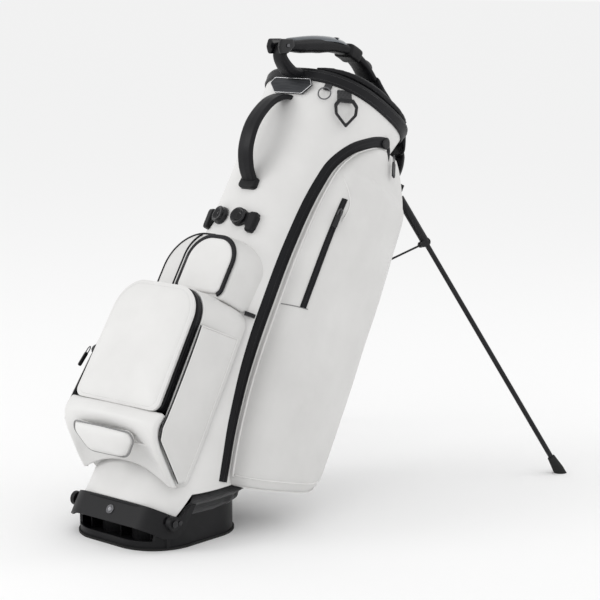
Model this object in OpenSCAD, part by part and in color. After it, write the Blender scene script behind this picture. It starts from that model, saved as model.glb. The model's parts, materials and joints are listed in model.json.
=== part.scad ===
// Golf stand bag. The bag leans back on two fold-out legs and pivots on a flat
// foot, which pushes two spring rods that swing the legs out.
// Millimetres, +Z up. The origin is the centre of the foot's underside, the ball
// pocket faces -Y and the bag leans toward +Y. Parts of the bag are drawn upright
// in the bag's own frame and then leaned back together.

/* [Stance] */
// Angle that the bag leans back when it stands on its legs
lean = 32; // [30:1:34]
// Height of the foot hinge above the ground
hinge_z = 50; // [48:1:54]
// Distance of the foot hinge in front of the centre
hinge_front = 80; // [78:1:84]

/* [Body] */
// Half-width of the bag at its bottom
bottom_half = 125; // [122:1:128]
// Half-width of the waist
waist_half = 107; // [104:1:110]
// Half-width of the mouth
mouth_half = 125; // [122:1:128]
// Height of the mouth along the bag
mouth_z = 874; // [872:2:890]
// Thickness of the body wall
wall = 4; // [3:0.5:5]

/* [Foot] */
// Half-width of the foot
foot_half = 120; // [118:1:121]
// Height of the foot's front rim
foot_rim = 16; // [12:1:18]
// Height of the foot's rear wall
foot_wall = 55; // [50:1:56]

/* [Legs] */
// Sideways place of each hip
hip_x = 100; // [98:1:102]
// Distance of the hips behind the bag's centre line
hip_y = 165; // [163:1:168]
// Height of the hips along the bag
hip_z = 780; // [775:1:785]
// Length of a leg from hip to ground
leg_len = 673; // [665:1:680]
// Angle that a leg swings out
leg_swing = 58; // [56:0.5:60]
// Angle that a leg splays sideways
leg_splay = 24; // [22:0.5:26]
// Distance from the hip to the knuckle that the rod pushes
knuckle = 120; // [118:1:122]
// Diameter of a leg tube
tube_d = 10; // [9:0.5:11]
// Diameter of an actuator rod
rod_d = 5; // [4:0.5:6]

/* [Pockets] */
// Half-width of the ball pocket
ball_half = 108; // [104:1:112]
// Top of the ball pocket along the bag
ball_top = 395; // [385:5:400]
// Bottom edge of the ball pocket's door
door_bottom = 158; // [154:1:162]
// Distance of the ball pocket's front edge from the centre line
ball_front = 192; // [188:1:196]
// Top of the valuables pocket along the bag
valuables_top = 522; // [515:1:528]
// Sideways reach of the garment pocket on the right
garment_reach = 196; // [190:1:198]
// How much further back the smaller left garment pocket starts
left_setback = 40; // [34:1:46]

/* [Hidden] */
$fn = 48;

// Stations of the body along its height: [z, value]
BODY_HX = [[0, bottom_half + 1], [200, bottom_half - 4], [420, 113], [620, waist_half], [760, 113], [900, mouth_half]];
BODY_HY = [[0, 123], [200, 120], [420, 114], [620, 110], [760, 118], [900, 134]];
BODY_YC = [[0, 0], [200, 0], [420, 3], [620, 5], [760, 14], [900, 36]];
BODY_N = [[0, 3.3], [200, 3.0], [420, 2.7], [620, 2.6], [900, 2.6]];

// Line of the garment zipper up the side, of the pocket's rear edge and of its bulge, [z, value]
ZIP_Y = [[90, -3], [110, -7], [190, -28], [270, -41], [340, -46], [410, -47], [520, -45], [620, -40],
         [690, -33], [730, -24], [770, 0], [800, 34], [815, 58], [824, 80]];
REAR_Y = [[90, 186], [200, 184], [400, 177], [600, 169], [710, 163], [760, 150], [800, 130], [824, 106]];
BULGE_X = [[90, 188], [180, garment_reach - 1], [350, garment_reach], [440, garment_reach - 3],
           [690, garment_reach - 19], [740, 160], [800, 134], [824, 124]];

// Where the hinge axis lies in the bag's own frame
hinge_yb = -hinge_front * cos(lean) - hinge_z * sin(lean);
hinge_zb = -hinge_front * sin(lean) + hinge_z * cos(lean);
// Height of the body's level rear edge above the ground, as it leans
hem_height = 90;

// Actuator: the foot drives each rod down its guide as the bag stands up
rod_reach = 188;
rod_travel = rod_reach * sin(lean);
rod_inset = 42;
// The rod passes this far beside the link, and the link's pivot lies this far inward of the leg
rod_side = 6.5;
knuckle_in = 9;
fold_in = rod_inset - knuckle_in;
swing_cos = cos(leg_swing);
swing_sin = sin(leg_swing);
// Height of the rod's top end, from equal link lengths folded and swung out
span_folded = hip_z - knuckle + rod_travel;
span_out = hip_z - knuckle * swing_cos - knuckle_in * swing_sin;
reach_out = knuckle * swing_sin - knuckle_in * swing_cos + rod_inset;
rod_top = (span_folded * span_folded - span_out * span_out + fold_in * fold_in - reach_out * reach_out)
          / (2 * (span_folded - span_out));
link_len = sqrt(fold_in * fold_in + (span_folded - rod_top) * (span_folded - rod_top));
link_tilt = atan(reach_out / (span_out - rod_top));
rod_end_x = 60;
rod_x = hip_x - rod_inset * sin(leg_splay) - rod_side * cos(leg_splay);
rod_y = hip_y - rod_inset * cos(leg_splay) + rod_side * sin(leg_splay);

// ---------- helpers ----------
function sgn(v) = v < 0 ? -1 : 1;
function mix(a, b, t) = a + (b - a) * t;
function spow(v, p) = sgn(v) * pow(abs(v), p);
function flat(lists) = [for (l = lists) for (v = l) v];

// Leans what is drawn in the bag's frame back to where it stands
module leaned() { rotate([-lean, 0, 0]) children(); }

// Height, in the bag's frame, of the plane that lies h above the ground
function plane_z(y, h) = h / cos(lean) + y * tan(lean);

// Bottom edge of the garment pockets, which hang lower toward the rear
function pocket_hem(y) = 106 + 0.33 * y + 0.004 * pow(max(0, y - 120), 2);

// Point of the body's section at height z and angle a, pulled in by inset
function body_pt(a, z, inset) =
  let (n = lookup(z, BODY_N))
  [(lookup(z, BODY_HX) - inset) * spow(cos(a), 2 / n),
   lookup(z, BODY_YC) + (lookup(z, BODY_HY) - inset) * spow(sin(a), 2 / n), z];

// Sideways reach of the body's skin at depth y and height z
function body_x(y, z) =
  let (n = lookup(z, BODY_N), r = min(1, abs((y - lookup(z, BODY_YC)) / lookup(z, BODY_HY))))
  lookup(z, BODY_HX) * pow(1 - pow(r, n), 1 / n);

// Solid through a list of rings that have equal numbers of points
module loft(rings) {
  n = len(rings[0]);
  m = len(rings);
  centre = function (r) [for (k = [0:2]) [for (p = r) p[k]] * [for (p = r) 1] / n];
  points = concat(flat(rings), [centre(rings[0]), centre(rings[m - 1])]);
  sides = [for (j = [0:m - 2], i = [0:n - 1]) each
    let (a = j * n + i, b = j * n + (i + 1) % n) [[a, b, b + n], [a, b + n, a + n]]];
  start = [for (i = [0:n - 1]) [n * m, (i + 1) % n, i]];
  end = [for (i = [0:n - 1]) [n * m + 1, (m - 1) * n + i, (m - 1) * n + (i + 1) % n]];
  polyhedron(points, [for (f = concat(sides, start, end)) [f[2], f[1], f[0]]], convexity = 8);
}

// Open sleeve between matching outer and inner rings
module sleeve(outer, inner) {
  n = len(outer[0]);
  m = len(outer);
  k = n * m;
  faces = [for (j = [0:m - 2], i = [0:n - 1]) each
    let (a = j * n + i, b = j * n + (i + 1) % n)
    [[a, b, b + n], [a, b + n, a + n], [k + a, k + b + n, k + b], [k + a, k + a + n, k + b + n]]];
  lower = [for (i = [0:n - 1]) each let (b = (i + 1) % n) [[i, k + i, k + b], [i, k + b, b]]];
  top = (m - 1) * n;
  upper = [for (i = [0:n - 1]) each
    let (a = top + i, b = top + (i + 1) % n) [[a, b, k + b], [a, k + b, k + a]]];
  polyhedron(concat(flat(outer), flat(inner)), [for (f = concat(faces, lower, upper)) [f[2], f[1], f[0]]],
             convexity = 8);
}

// Thin solid between two matching open grids of points
module shell(outer, inner) {
  n = len(outer[0]);
  m = len(outer);
  k = n * m;
  faces = [for (j = [0:m - 2], i = [0:n - 2]) each
    let (a = j * n + i, b = a + 1)
    [[a, b, b + n], [a, b + n, a + n], [k + a, k + b + n, k + b], [k + a, k + a + n, k + b + n]]];
  rows = [for (i = [0:n - 2]) each let (a = i, b = (m - 1) * n + i)
    [[a, k + a, k + a + 1], [a, k + a + 1, a + 1], [b, b + 1, k + b + 1], [b, k + b + 1, k + b]]];
  columns = [for (j = [0:m - 2]) each let (a = j * n, b = j * n + n - 1)
    [[a, a + n, k + a + n], [a, k + a + n, k + a], [b, k + b, k + b + n], [b, k + b + n, b + n]]];
  polyhedron(concat(flat(outer), flat(inner)), [for (f = concat(faces, rows, columns)) [f[2], f[1], f[0]]],
             convexity = 8);
}

// Catmull-Rom curve through pts, with steps points to each span
function smooth(pts, steps) =
  let (m = len(pts))
  concat([for (i = [0:m - 2], s = [0:steps - 1])
    let (t = s / steps, p0 = pts[max(i - 1, 0)], p1 = pts[i], p2 = pts[i + 1], p3 = pts[min(i + 2, m - 1)])
    0.5 * (2 * p1 + (p2 - p0) * t + (2 * p0 - 5 * p1 + 4 * p2 - p3) * t * t
           + (3 * p1 - p0 - 3 * p2 + p3) * t * t * t)],
    [pts[m - 1]]);

// Flat strap swept along a path, width w across the direction side and thickness th
module strap(path, w, th, side = [1, 0, 0], n = 12, soft = 0.6) {
  m = len(path);
  rings = [for (i = [0:m - 1])
    let (d = path[min(i + 1, m - 1)] - path[max(i - 1, 0)],
         t = d / norm(d),
         up = cross(t, side) / norm(cross(t, side)),
         across = cross(up, t))
    [for (k = [0:n - 1]) let (a = 360 * k / n)
      path[i] + across * (w / 2) * spow(cos(a), soft) + up * (th / 2) * spow(sin(a), soft)]];
  loft(rings);
}

// Arch-topped outline in the XZ plane at depth y: half-width w, bottom and top heights
function arch(y, w, zb, zt, rb, rt, xc = 0) =
  let (corner = function (cx, cz, r, a0) [for (k = [0:7]) let (a = a0 + 90 * k / 7)
    [xc + cx + r * cos(a), y, cz + r * sin(a)]])
  concat(corner(w - rt, zt - rt, rt, 0), corner(rt - w, zt - rt, rt, 90),
         corner(rb - w, zb + rb, rb, 180), corner(w - rb, zb + rb, rb, 270));

// Square with rounded corners
module rounded(half, r) {
  square([2 * half, 2 * (half - r)], center = true);
  square([2 * (half - r), 2 * half], center = true);
  for (x = [-1, 1], y = [-1, 1]) translate([x * (half - r), y * (half - r)]) circle(r);
}

// Extrudes a YZ profile along X, centred
module profile_x(pts, width) {
  translate([-width / 2, 0, 0]) rotate([90, 0, 90]) linear_extrude(width) polygon(pts);
}

// Cylinder along X
module bar_x(r, x0, x1) { translate([x0, 0, 0]) rotate([0, 90, 0]) cylinder(r = r, h = x1 - x0); }

// Draws both sides
module both() { children(); mirror([1, 0, 0]) children(); }

// ---------- foot ----------
foot_profile = [[-130, 0], [-130, foot_rim], [-98, foot_rim], [-92, hinge_z], [-68, hinge_z + 3],
                [-50, foot_wall], [130, foot_wall], [130, 0]];

module foot_base() {
  ear_in = 100;
  ear_out = 112;
  color("#1b1b1d") difference() {
    union() {
      intersection() {
        difference() {
          linear_extrude(foot_wall) rounded(foot_half, 80);
          translate([0, 0, 6]) linear_extrude(foot_wall) rounded(foot_half - 4, 76);
        }
        profile_x(foot_profile, 300);
      }
      both() {
        translate([ear_in, -hinge_front - 4, 4]) cube([ear_out - ear_in, 15, hinge_z - 4]);
        translate([0, -hinge_front, hinge_z]) bar_x(11, ear_in, ear_out);
      }
      // Shelves that the rods rest on, on webs from the floor
      both() translate([rod_end_x - 9, 66, 5]) cube([18, 46, 39]);
    }
    both() translate([0, -hinge_front, hinge_z]) bar_x(3.05, ear_in - 1, ear_out + 20);
    // Notches in the rear wall that the rods pass over
    both() translate([rod_end_x - 6, 90, 44]) cube([12, 40, 20]);
  }
}

module foot_sole() {
  color("#101011") translate([0, 0, -0.01]) difference() {
    translate([0, 0, 0.01]) linear_extrude(foot_rim / 4) rounded(foot_half + 3, 83);
    translate([0, 0, -1]) linear_extrude(foot_rim) rounded(foot_half + 0.05, 80);
  }
}

module foot_ribs() {
  rib = 3;
  color("#222224") {
    // Two moulded cups behind the front rim
    for (x = [-38, 38]) translate([x, -56, 6.05]) difference() {
      cylinder(r = 30, h = 34);
      translate([0, 0, 3]) cylinder(r = 27, h = 40);
      translate([-40, 8, -1]) cube([80, 40, 50]);
    }
    // Upright ribs between the cups and the rim
    for (x = [-76, 0, 76]) translate([x - rib / 2, -88, 6.05]) cube([rib, 46, x == 0 ? 30 : 24]);
  }
}

// ---------- base of the bag ----------
cup_ear_in = 118.5;
cup_ear_out = bottom_half + 2.2;
// Second screw of each hinge, behind and above the first
screw_back = 11.5;
screw_up = 6;

// Outline of the body's inside near its bottom
function cup_outline(inset) = [for (k = [0:59]) let (p = body_pt(6 * k, 50, inset)) [p[0], p[1]]];

module base_cup() {
  band_out = bottom_half + 2;
  band_in = bottom_half - 2;
  cap_low = hem_height - 6;
  cap_high = hem_height - 0.6;
  front = [[-130, -30], [-95, -30], [-74, -20], [-64, 2], [-62, plane_z(-62, hem_height) - 18],
           [-72, plane_z(-72, hem_height) - 18], [-85, 12], [-130, 12]];
  color("#17171a") leaned() difference() {
    union() {
      intersection() {
        translate([0, 0, -40]) linear_extrude(160) difference() {
          rounded(band_out, 62);
          rounded(band_in, 58);
        }
        profile_x(front, 300);
      }
      // Ledge under the skin's front edge, and the wall that joins it to the cap
      translate([0, 0, 4]) linear_extrude(8) intersection() {
        difference() {
          rounded(band_out, 62);
          polygon(cup_outline(8));
        }
        translate([-150, -150]) square([300, 60]);
      }
      intersection() {
        linear_extrude(120) difference() {
          polygon(cup_outline(5));
          polygon(cup_outline(8));
        }
        profile_x([[-130, 5], [-88, 5], [-88, plane_z(-88, cap_high)], [-130, plane_z(-130, cap_high)]], 300);
      }
      // Ears that carry the hinge
      both() {
        translate([0, hinge_yb, hinge_zb]) bar_x(13, cup_ear_in, cup_ear_out);
        translate([0, hinge_yb + screw_back, hinge_zb + screw_up]) bar_x(8, cup_ear_in, cup_ear_out);
      }
      // Cap across the bottom of the body, which the clubs stand on
      intersection() {
        linear_extrude(260) polygon(cup_outline(5));
        rotate([lean, 0, 0]) translate([-150, -160, cap_low]) cube([300, 400, cap_high - cap_low]);
      }
    }
    both() translate([0, hinge_yb, hinge_zb]) bar_x(3, 100, 130);
    // Room for the foot's ears
    both() translate([0, hinge_yb, hinge_zb]) bar_x(12.5, 98, 113.5);
    both() translate([0, hinge_yb + screw_back, hinge_zb + screw_up]) bar_x(2.6, 100, 130);
  }
}

module base_emblem() {
  color("#9a9a9c") leaned() translate([0, -bottom_half - 2.05, -9]) rotate([90, 0, 0])
    cylinder(r = 8, h = 1.2);
}

module base_bellows() {
  // Pleated skirt from the foot's rim to the cap, open at the front
  fold = 3;
  arc = [for (k = [0:28]) -18 + 216 * k / 28];
  low = function (a, inset) let (r = foot_half - 3 - inset)
    [r * spow(cos(a), 0.62), r * spow(sin(a), 0.62), foot_wall + 1.5];
  high = function (a, inset)
    let (p = body_pt(a, 120, 12 + inset), z = plane_z(p[1], hem_height - 6.5))
    [p[0], p[1] * cos(lean) + z * sin(lean), -p[1] * sin(lean) + z * cos(lean)];
  mid = function (a, inset, t) mix(low(a, inset + fold), high(a, inset + fold), t);
  side = function (inset) [for (a = arc) [low(a, inset), mid(a, inset, 0.25),
    mix(low(a, inset), high(a, inset), 0.5), mid(a, inset, 0.75), high(a, inset)]];
  color("#131314") shell(side(0), side(2));
}

module hinge_pins() {
  color("#3a3a3d") both() translate([0, -hinge_front, hinge_z]) bar_x(3, 99, cup_ear_out);
}

module hinge_screws() {
  color("#2c2c2f") leaned() both() {
    translate([0, hinge_yb, hinge_zb]) bar_x(6.5, cup_ear_out + 0.05, cup_ear_out + 2.6);
    translate([0, hinge_yb + screw_back, hinge_zb + screw_up]) {
      bar_x(2.5, cup_ear_in + 0.5, cup_ear_out + 0.5);
      bar_x(4.5, cup_ear_out + 0.05, cup_ear_out + 1.8);
    }
  }
}

// ---------- body ----------
function hem_z(y) = y < -84 ? 12.5 : mix(12.5, plane_z(y, hem_height), min(1, (y + 84) / 12));

module body_shell() {
  count = 60;
  steps = [0, 0.06, 0.14, 0.24, 0.36, 0.5, 0.62, 0.74, 0.86, 1];
  rings = function (inset) [for (t = steps) [for (k = [0:count - 1])
    let (a = 360 * k / count,
         base = body_pt(a, 60, 0),
         z = mix(hem_z(base[1]), mouth_z, t))
    body_pt(a, z, inset)]];
  color("#e9e8e6") leaned() sleeve(rings(0), rings(wall));
}

module spine_stays() {
  color("#55575a") leaned() {
    for (x = [-60, 60]) translate([x, 84, 190]) rotate([-1.33, 0, 0]) cylinder(d = 8, h = 590);
    translate([0, -96, 60]) rotate([-0.6, 0, 0]) cylinder(d = 8, h = 540);
  }
}

// Height of the divider's underside and the distance of its bars from the middle
divider_z = mouth_z - 34;
bar_offset = 37;

module club_divider() {
  depth = 26;
  bar = 6;
  yc = lookup(divider_z, BODY_YC);
  outline = function (inset) [for (k = [0:59]) let (p = body_pt(6 * k, divider_z, wall + inset)) [p[0], p[1]]];
  color("#1e1e20") leaned() translate([0, 0, divider_z]) linear_extrude(depth) {
    difference() {
      polygon(outline(2.2));
      polygon(outline(7));
    }
    intersection() {
      polygon(outline(4));
      union() {
        for (y = [-1, 1]) translate([-130, yc + y * bar_offset - bar / 2]) square([260, bar]);
        translate([-bar / 2, yc - 140]) square([bar, 280]);
      }
    }
  }
}

module divider_sleeves() {
  // Two fabric walls that hang from the divider's bars
  low = 200;
  yc = lookup(divider_z, BODY_YC);
  color("#2a2a2c") leaned() for (y = [-1, 1])
    profile_x([[y * 30 - 1, low], [y * 30 + 1, low],
               [yc + y * bar_offset + 1, divider_z - 1], [yc + y * bar_offset - 1, divider_z - 1]], 186);
}

module top_collar() {
  count = 60;
  ring = function (z, out) [for (k = [0:count - 1]) let (p = body_pt(360 * k / count, min(z, 899), -out)) [p[0], p[1], z]];
  color("#161618") leaned()
    sleeve([ring(mouth_z - 6, 4), ring(mouth_z - 3, 6), ring(mouth_z + 0.6, 6.2), ring(mouth_z + 14, 6.5),
            ring(mouth_z + 20, 3)],
           [ring(mouth_z - 6, 0.8), ring(mouth_z - 3, 0.8), ring(mouth_z + 0.6, 0.6), ring(mouth_z + 14, -4),
            ring(mouth_z + 20, -3)]);
}

module collar_pad() {
  // Padded hump along the right-hand rim of the mouth
  path = [for (a = [-72:8:24]) let (p = body_pt(a, 898, 1)) [p[0], p[1], mouth_z + 30 + 8 * cos((a + 24) * 1.6)]];
  color("#1c1c1e") leaned() strap(path, 17, 18, side = [0.5, 0.5, 0], soft = 0.9);
}

// ---------- handles ----------
module carry_handle() {
  path = smooth([[0, -110, 828], [0, -132, 812], [0, -152, 778], [0, -159, 736], [0, -151, 696],
                 [0, -130, 666], [0, -114, 656]], 4);
  color("#1b1b1d") leaned() strap(path, 34, 12);
}

module handle_plate() {
  color("#8f9194") leaned() translate([3, -106, 848]) rotate([-9, 0, 0]) {
    rotate([90, 0, 0]) linear_extrude(3)
      polygon([[-42, 14], [42, 14], [50, 2], [34, -14], [-34, -14], [-50, 2]]);
  }
}

module handle_boot() {
  color("#141416") leaned() translate([0, -105.5, 648]) rotate([-4, 0, 0]) {
    rotate([90, 0, 0]) linear_extrude(9) polygon([[-21, -12], [-15, -16], [15, -16], [21, -12], [21, 6], [-21, 6]]);
  }
}

lift_route = [[0, -119, 846], [0, -147, 858], [0, -170, 878], [0, -160, 904], [0, -126, 930], [0, -84, 957],
              [0, -40, 979], [0, 6, 990], [0, 48, 987], [0, 86, 974]];

module lift_handle() {
  color("#1a1a1c") leaned() strap(smooth(lift_route, 4), 36, 17);
}

module lift_insert() {
  // Glossy cap that lies on the grip, offset along its normal
  grip = smooth(lift_route, 4);
  path = [for (i = [18:28]) let (d = grip[i + 1] - grip[i - 1]) grip[i] + 10.3 * [0, -d[2], d[1]] / norm(d)];
  color("#3b4047") leaned() strap(path, 24, 3);
}

module strap_keeper() {
  path = [[0, 8, 990.5], [0, 18, 990], [0, 28, 989.5]];
  color("#101012") leaned() difference() {
    strap(path, 44, 28, soft = 0.4);
    strap([[0, -6, 990], [0, 18, 990], [0, 42, 988.5]], 37, 19, soft = 0.5);
  }
}

module strap_yoke() {
  path = smooth([[0, 89, 972], [0, 118, 957], [0, 150, 930], [0, 179, 900], [0, 193, 870]], 4);
  color("#161618") leaned() {
    strap(path, 78, 16);
    // Domed knob of the quick release
    translate([0, 64, 993]) rotate([-18, 0, 0]) cylinder(r = 13, h = 8);
  }
}

module shoulder_straps() {
  path = smooth([[44, 191, 868], [47, 195, 838], [46, 192, 805], [44, 178, 770], [42, 162, 742], [41, 156, 700]], 4);
  color("#19191b") leaned() both() strap(path, 54, 15);
}

module strap_webbing() {
  path = smooth([[41, 156, 699], [40, 154, 640], [38, 152, 560], [37, 148, 480]], 3);
  color("#0f0f10") leaned() both() strap(path, 25, 2.4, soft = 0.4);
}

module strap_buckles() {
  color("#222226") leaned() both() translate([38.5, 153, 600]) {
    difference() {
      translate([-18, -5, -14]) cube([36, 10, 28]);
      translate([-14, -2, -20]) cube([28, 4.2, 40]);
    }
  }
}

module hip_pad() {
  ring = function (y, w, h, z) [for (k = [0:31]) let (a = 360 * k / 32)
    [w * spow(cos(a), 0.6), y, z + h * spow(sin(a), 0.6)]];
  color("#dcdbd9") leaned()
    loft([ring(126, 56, 118, 430), ring(129, 62, 126, 430), ring(137, 60, 122, 430), ring(142, 46, 104, 430)]);
}

// ---------- small fittings on the front ----------
module dock() {
  // Round magnetic dock with a bracket and a hanging tab
  color("#141416") {
    rotate([90, 0, 0]) cylinder(r = 14, h = 12);
    translate([0, -8, -12]) cube([34, 8, 22]);
    translate([18, -11, -24]) cube([16, 11, 36]);
  }
}

module docks() {
  leaned() {
    translate([12, -109, 574]) rotate([0, 0, 8]) dock();
    mirror([1, 0, 0]) translate([36, -106.5, 574]) rotate([0, 0, 18]) dock();
  }
}

module pen_clip() {
  color("#0e0e10") leaned() translate([101, -84, 400]) rotate([0, 0, 42]) cube([20, 6, 7], center = true);
}

// Frames of the two rings, on the body's skin with X pointing outward
module at_carry_ring() { leaned() translate([95.5, -56.5, 850]) rotate([0, 0, -34.5]) rotate([20, 0, 0]) children(); }

module at_dee() { leaned() translate([72, -80, 859]) rotate([0, 0, -63]) children(); }

module tab(width, height, bead) {
  translate([6.4, -width / 2, -2]) cube([3, width, height]);
  translate([9.4 + bead - 0.4, width / 2, -2]) rotate([90, 0, 0]) cylinder(r = bead, h = width);
}

module ring_tabs() {
  color("#121214") {
    at_carry_ring() tab(28, 15, 3.5);
    at_dee() tab(14, 10, 2);
  }
}

module carry_ring() {
  // Hexagonal ring that hangs in front of the tab
  outline = [[-23, 0], [-14, 12], [14, 12], [23, 0], [21, -18], [0, -42], [-21, -18]];
  opening = [[-17, -1], [-11, 7.5], [11, 7.5], [17, -1], [15.5, -15], [0, -33], [-15.5, -15]];
  color("#18181a") at_carry_ring() translate([17.6, 0, -12]) rotate([90, 0, 90]) difference() {
    linear_extrude(4) polygon(outline);
    translate([0, 0, -1]) linear_extrude(6) polygon(opening);
  }
}

module dee_ring() {
  color("#8b8d90") at_dee() translate([15.2, 0, -12.7]) rotate([0, 90, 0]) difference() {
    cylinder(r = 13, h = 2.4, center = true);
    cylinder(r = 10.4, h = 4, center = true);
  }
}

// ---------- ball pocket ----------
skirt_low = 62;
// The pocket narrows toward its top by this share
ball_taper = 0.08;

function ball_ring(y, half, zb, zt, rb, rt) =
  [for (p = arch(y, half, zb, zt, rb, rt))
    [p[0] * (1 - ball_taper * min(1, max(0, (p[2] - door_bottom) / (ball_top - door_bottom)))), p[1], p[2]]];

module ball_pocket() {
  // Soft box with an open front and a skirt that tucks in below it
  outer = [ball_ring(-92, ball_half + 8, skirt_low, ball_top + 8, 20, 38),
           ball_ring(-130, ball_half + 8, skirt_low + 8, ball_top + 6, 22, 46),
           ball_ring(-168, ball_half + 6, skirt_low + 24, ball_top + 3, 24, 56),
           ball_ring(-ball_front, ball_half, skirt_low + 40, ball_top, 24, 60)];
  inner = [ball_ring(-120, ball_half - 2, 150, ball_top - 2, 16, 58),
           ball_ring(-168, ball_half - 3, 152, ball_top - 4, 18, 56),
           ball_ring(-ball_front - 2, ball_half - 6, door_bottom, ball_top - 6, 20, 54)];
  lip = [ball_ring(-ball_front + 1, ball_half + 4, skirt_low + 40, door_bottom - 1, 26, 8),
         ball_ring(-206, ball_half + 10, skirt_low + 52, door_bottom - 2, 26, 10),
         ball_ring(-222, ball_half + 2, skirt_low + 72, door_bottom - 4, 14, 8)];
  color("#e4e3e1") leaned() difference() {
    union() {
      loft(outer);
      loft(lip);
    }
    loft(inner);
    // Room for the body behind
    loft([for (z = [40, 140, 240, 340, 430]) [for (k = [0:39]) body_pt(360 * k / 40, z, -1.6)]]);
  }
}

module ball_zip() {
  color("#121213") leaned() sleeve(
    [ball_ring(-ball_front - 0.3, ball_half - 1, door_bottom + 1, ball_top - 1, 20, 59),
     ball_ring(-207, ball_half - 2.5, door_bottom + 1, ball_top - 2.5, 20, 58)],
    [ball_ring(-ball_front - 0.3, ball_half - 5, door_bottom + 5, ball_top - 5, 18, 55),
     ball_ring(-207, ball_half - 6.5, door_bottom + 5, ball_top - 6.5, 18, 54)]);
}

module ball_door() {
  color("#efeeec") leaned()
    loft([ball_ring(-208, ball_half - 5, door_bottom + 1, ball_top - 4, 18, 56),
          ball_ring(-215, ball_half - 5, door_bottom + 1, ball_top - 4, 18, 56),
          ball_ring(-219, ball_half - 8, door_bottom + 4, ball_top - 7, 17, 54),
          ball_ring(-223, ball_half - 24, door_bottom + 18, ball_top - 20, 16, 44),
          ball_ring(-226, ball_half - 52, door_bottom + 46, ball_top - 50, 16, 30)]);
}

module ball_slider() {
  color("#1a1a1c") leaned() translate([-ball_half - 0.5, -206, 250]) {
    cube([6, 9, 15], center = true);
    translate([-5, 0, 4]) rotate([90, 0, 0]) cylinder(r = 2, h = 5, center = true);
  }
}

module ball_pull() {
  color("#1a1a1c") leaned() translate([-ball_half - 11, -210, 252]) rotate([0, 12, 0])
    translate([-1.5, -4, -42]) cube([3, 8, 40]);
}

module slip_pockets() {
  // Flat side pockets that stand off the ball pocket's sides and open forward
  outline = [[-200, 148], [-106, 86], [-96, 100], [-112, 350], [-128, 352], [-190, 332], [-202, 318]];
  slot = [[-220, 158], [-112, 98], [-106, 110], [-120, 338], [-132, 342], [-220, 320]];
  color("#d9d8d6") leaned() both() translate([ball_half + 8.6, 0, 0]) rotate([90, 0, 90]) difference() {
    linear_extrude(9) polygon(outline);
    translate([0, 0, 3]) linear_extrude(3.5) polygon(slot);
  }
}

// ---------- valuables pocket ----------
valuables_shift = -2;
valuables_half = 90;

module valuables_pocket() {
  zb = ball_top + 10;
  outer = [arch(-78, valuables_half + 3, zb, valuables_top + 8, 6, 62, 0),
           arch(-120, valuables_half + 1, zb, valuables_top + 5, 6, 72, valuables_shift / 2),
           arch(-146, valuables_half - 2, zb, valuables_top, 6, 74, valuables_shift)];
  inner = [arch(-116, 50, zb + 14, valuables_top - 14, 12, 42, 20),
           arch(-150, 50, zb + 14, valuables_top - 14, 12, 42, 20)];
  color("#e6e5e3") leaned() difference() {
    loft(outer);
    loft(inner);
    loft([for (z = [380, 440, 500, 560]) [for (k = [0:39]) body_pt(360 * k / 40, z, -1.6)]]);
  }
}

module valuables_door() {
  zb = ball_top + 20;
  color("#edecea") leaned()
    loft([arch(-146.4, 52, zb, valuables_top - 12, 12, 43, 20),
          arch(-152, 52, zb, valuables_top - 12, 12, 43, 20),
          arch(-156, 44, zb + 8, valuables_top - 20, 10, 36, 20)]);
}

module valuables_pull() {
  color("#1a1a1c") leaned() translate([-34, -149.4, 470]) {
    translate([-2, -3, -30]) cube([4, 3, 30]);
  }
}

// ---------- garment pockets ----------
// back moves the front edge rearward and in pulls the bulge in, for the smaller left pocket
function flap_ring(t, inset, count, back, in) = [for (k = [0:count])
  let (phi = -90 + 180 * k / count,
       z_guess = mix(pocket_hem(60), 824, t),
       yr = lookup(z_guess, REAR_Y) - inset,
       yf = min(yr - 8, lookup(mix(pocket_hem(back - 20), 824, t), ZIP_Y) + back + 2.5 + inset),
       y = mix(yf, yr, 0.5) + (yr - yf) / 2 * spow(sin(phi), 0.72),
       z = mix(pocket_hem(y), 824, t),
       xb = mix(body_x(yf, z) + 2.4, 118, min(1, max(0, (y - yf) / (yr - yf)))),
       xo = lookup(z, BULGE_X) - in - inset)
  [xb + (xo - xb) * pow(max(0, cos(phi)), 0.52), y, z]];

flap_levels = [0, 0.1, 0.22, 0.36, 0.5, 0.64, 0.74, 0.8, 0.85, 0.89, 0.925, 0.955, 0.98];
flap_count = 20;
// The left pocket bulges this much less
left_inset = 18;

// Ring of the flap at any level, straight between the levels that the flap is built from
function level_ring(t, inset, back, in) =
  let (i = max([for (k = [0:len(flap_levels) - 2]) if (flap_levels[k] <= t) k]),
       s = (t - flap_levels[i]) / (flap_levels[i + 1] - flap_levels[i]),
       a = flap_ring(flap_levels[i], inset, flap_count, back, in),
       b = flap_ring(flap_levels[i + 1], inset, flap_count, back, in))
  [for (k = [0:flap_count]) mix(a[k], b[k], s)];

module garment_flap(back, in) {
  th = 3;
  color("#e2e1df") leaned() shell([for (t = flap_levels) flap_ring(t, 0, flap_count, back, in)],
                                  [for (t = flap_levels) flap_ring(t, th, flap_count, back, in)]);
}

// Point on the pocket's back wall, which follows the body and then runs straight
function tray_pt(t, s, off, back) =
  let (z_guess = mix(pocket_hem(60) + 3, 800, t),
       y = mix(lookup(mix(pocket_hem(back - 20) + 3, 800, t), ZIP_Y) + back + 7.5, lookup(z_guess, REAR_Y) - 9, s),
       z = mix(pocket_hem(y) + 3, 800, t))
  [max(114.4, body_x(y, z) + 0.6) + off, y, z];

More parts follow.
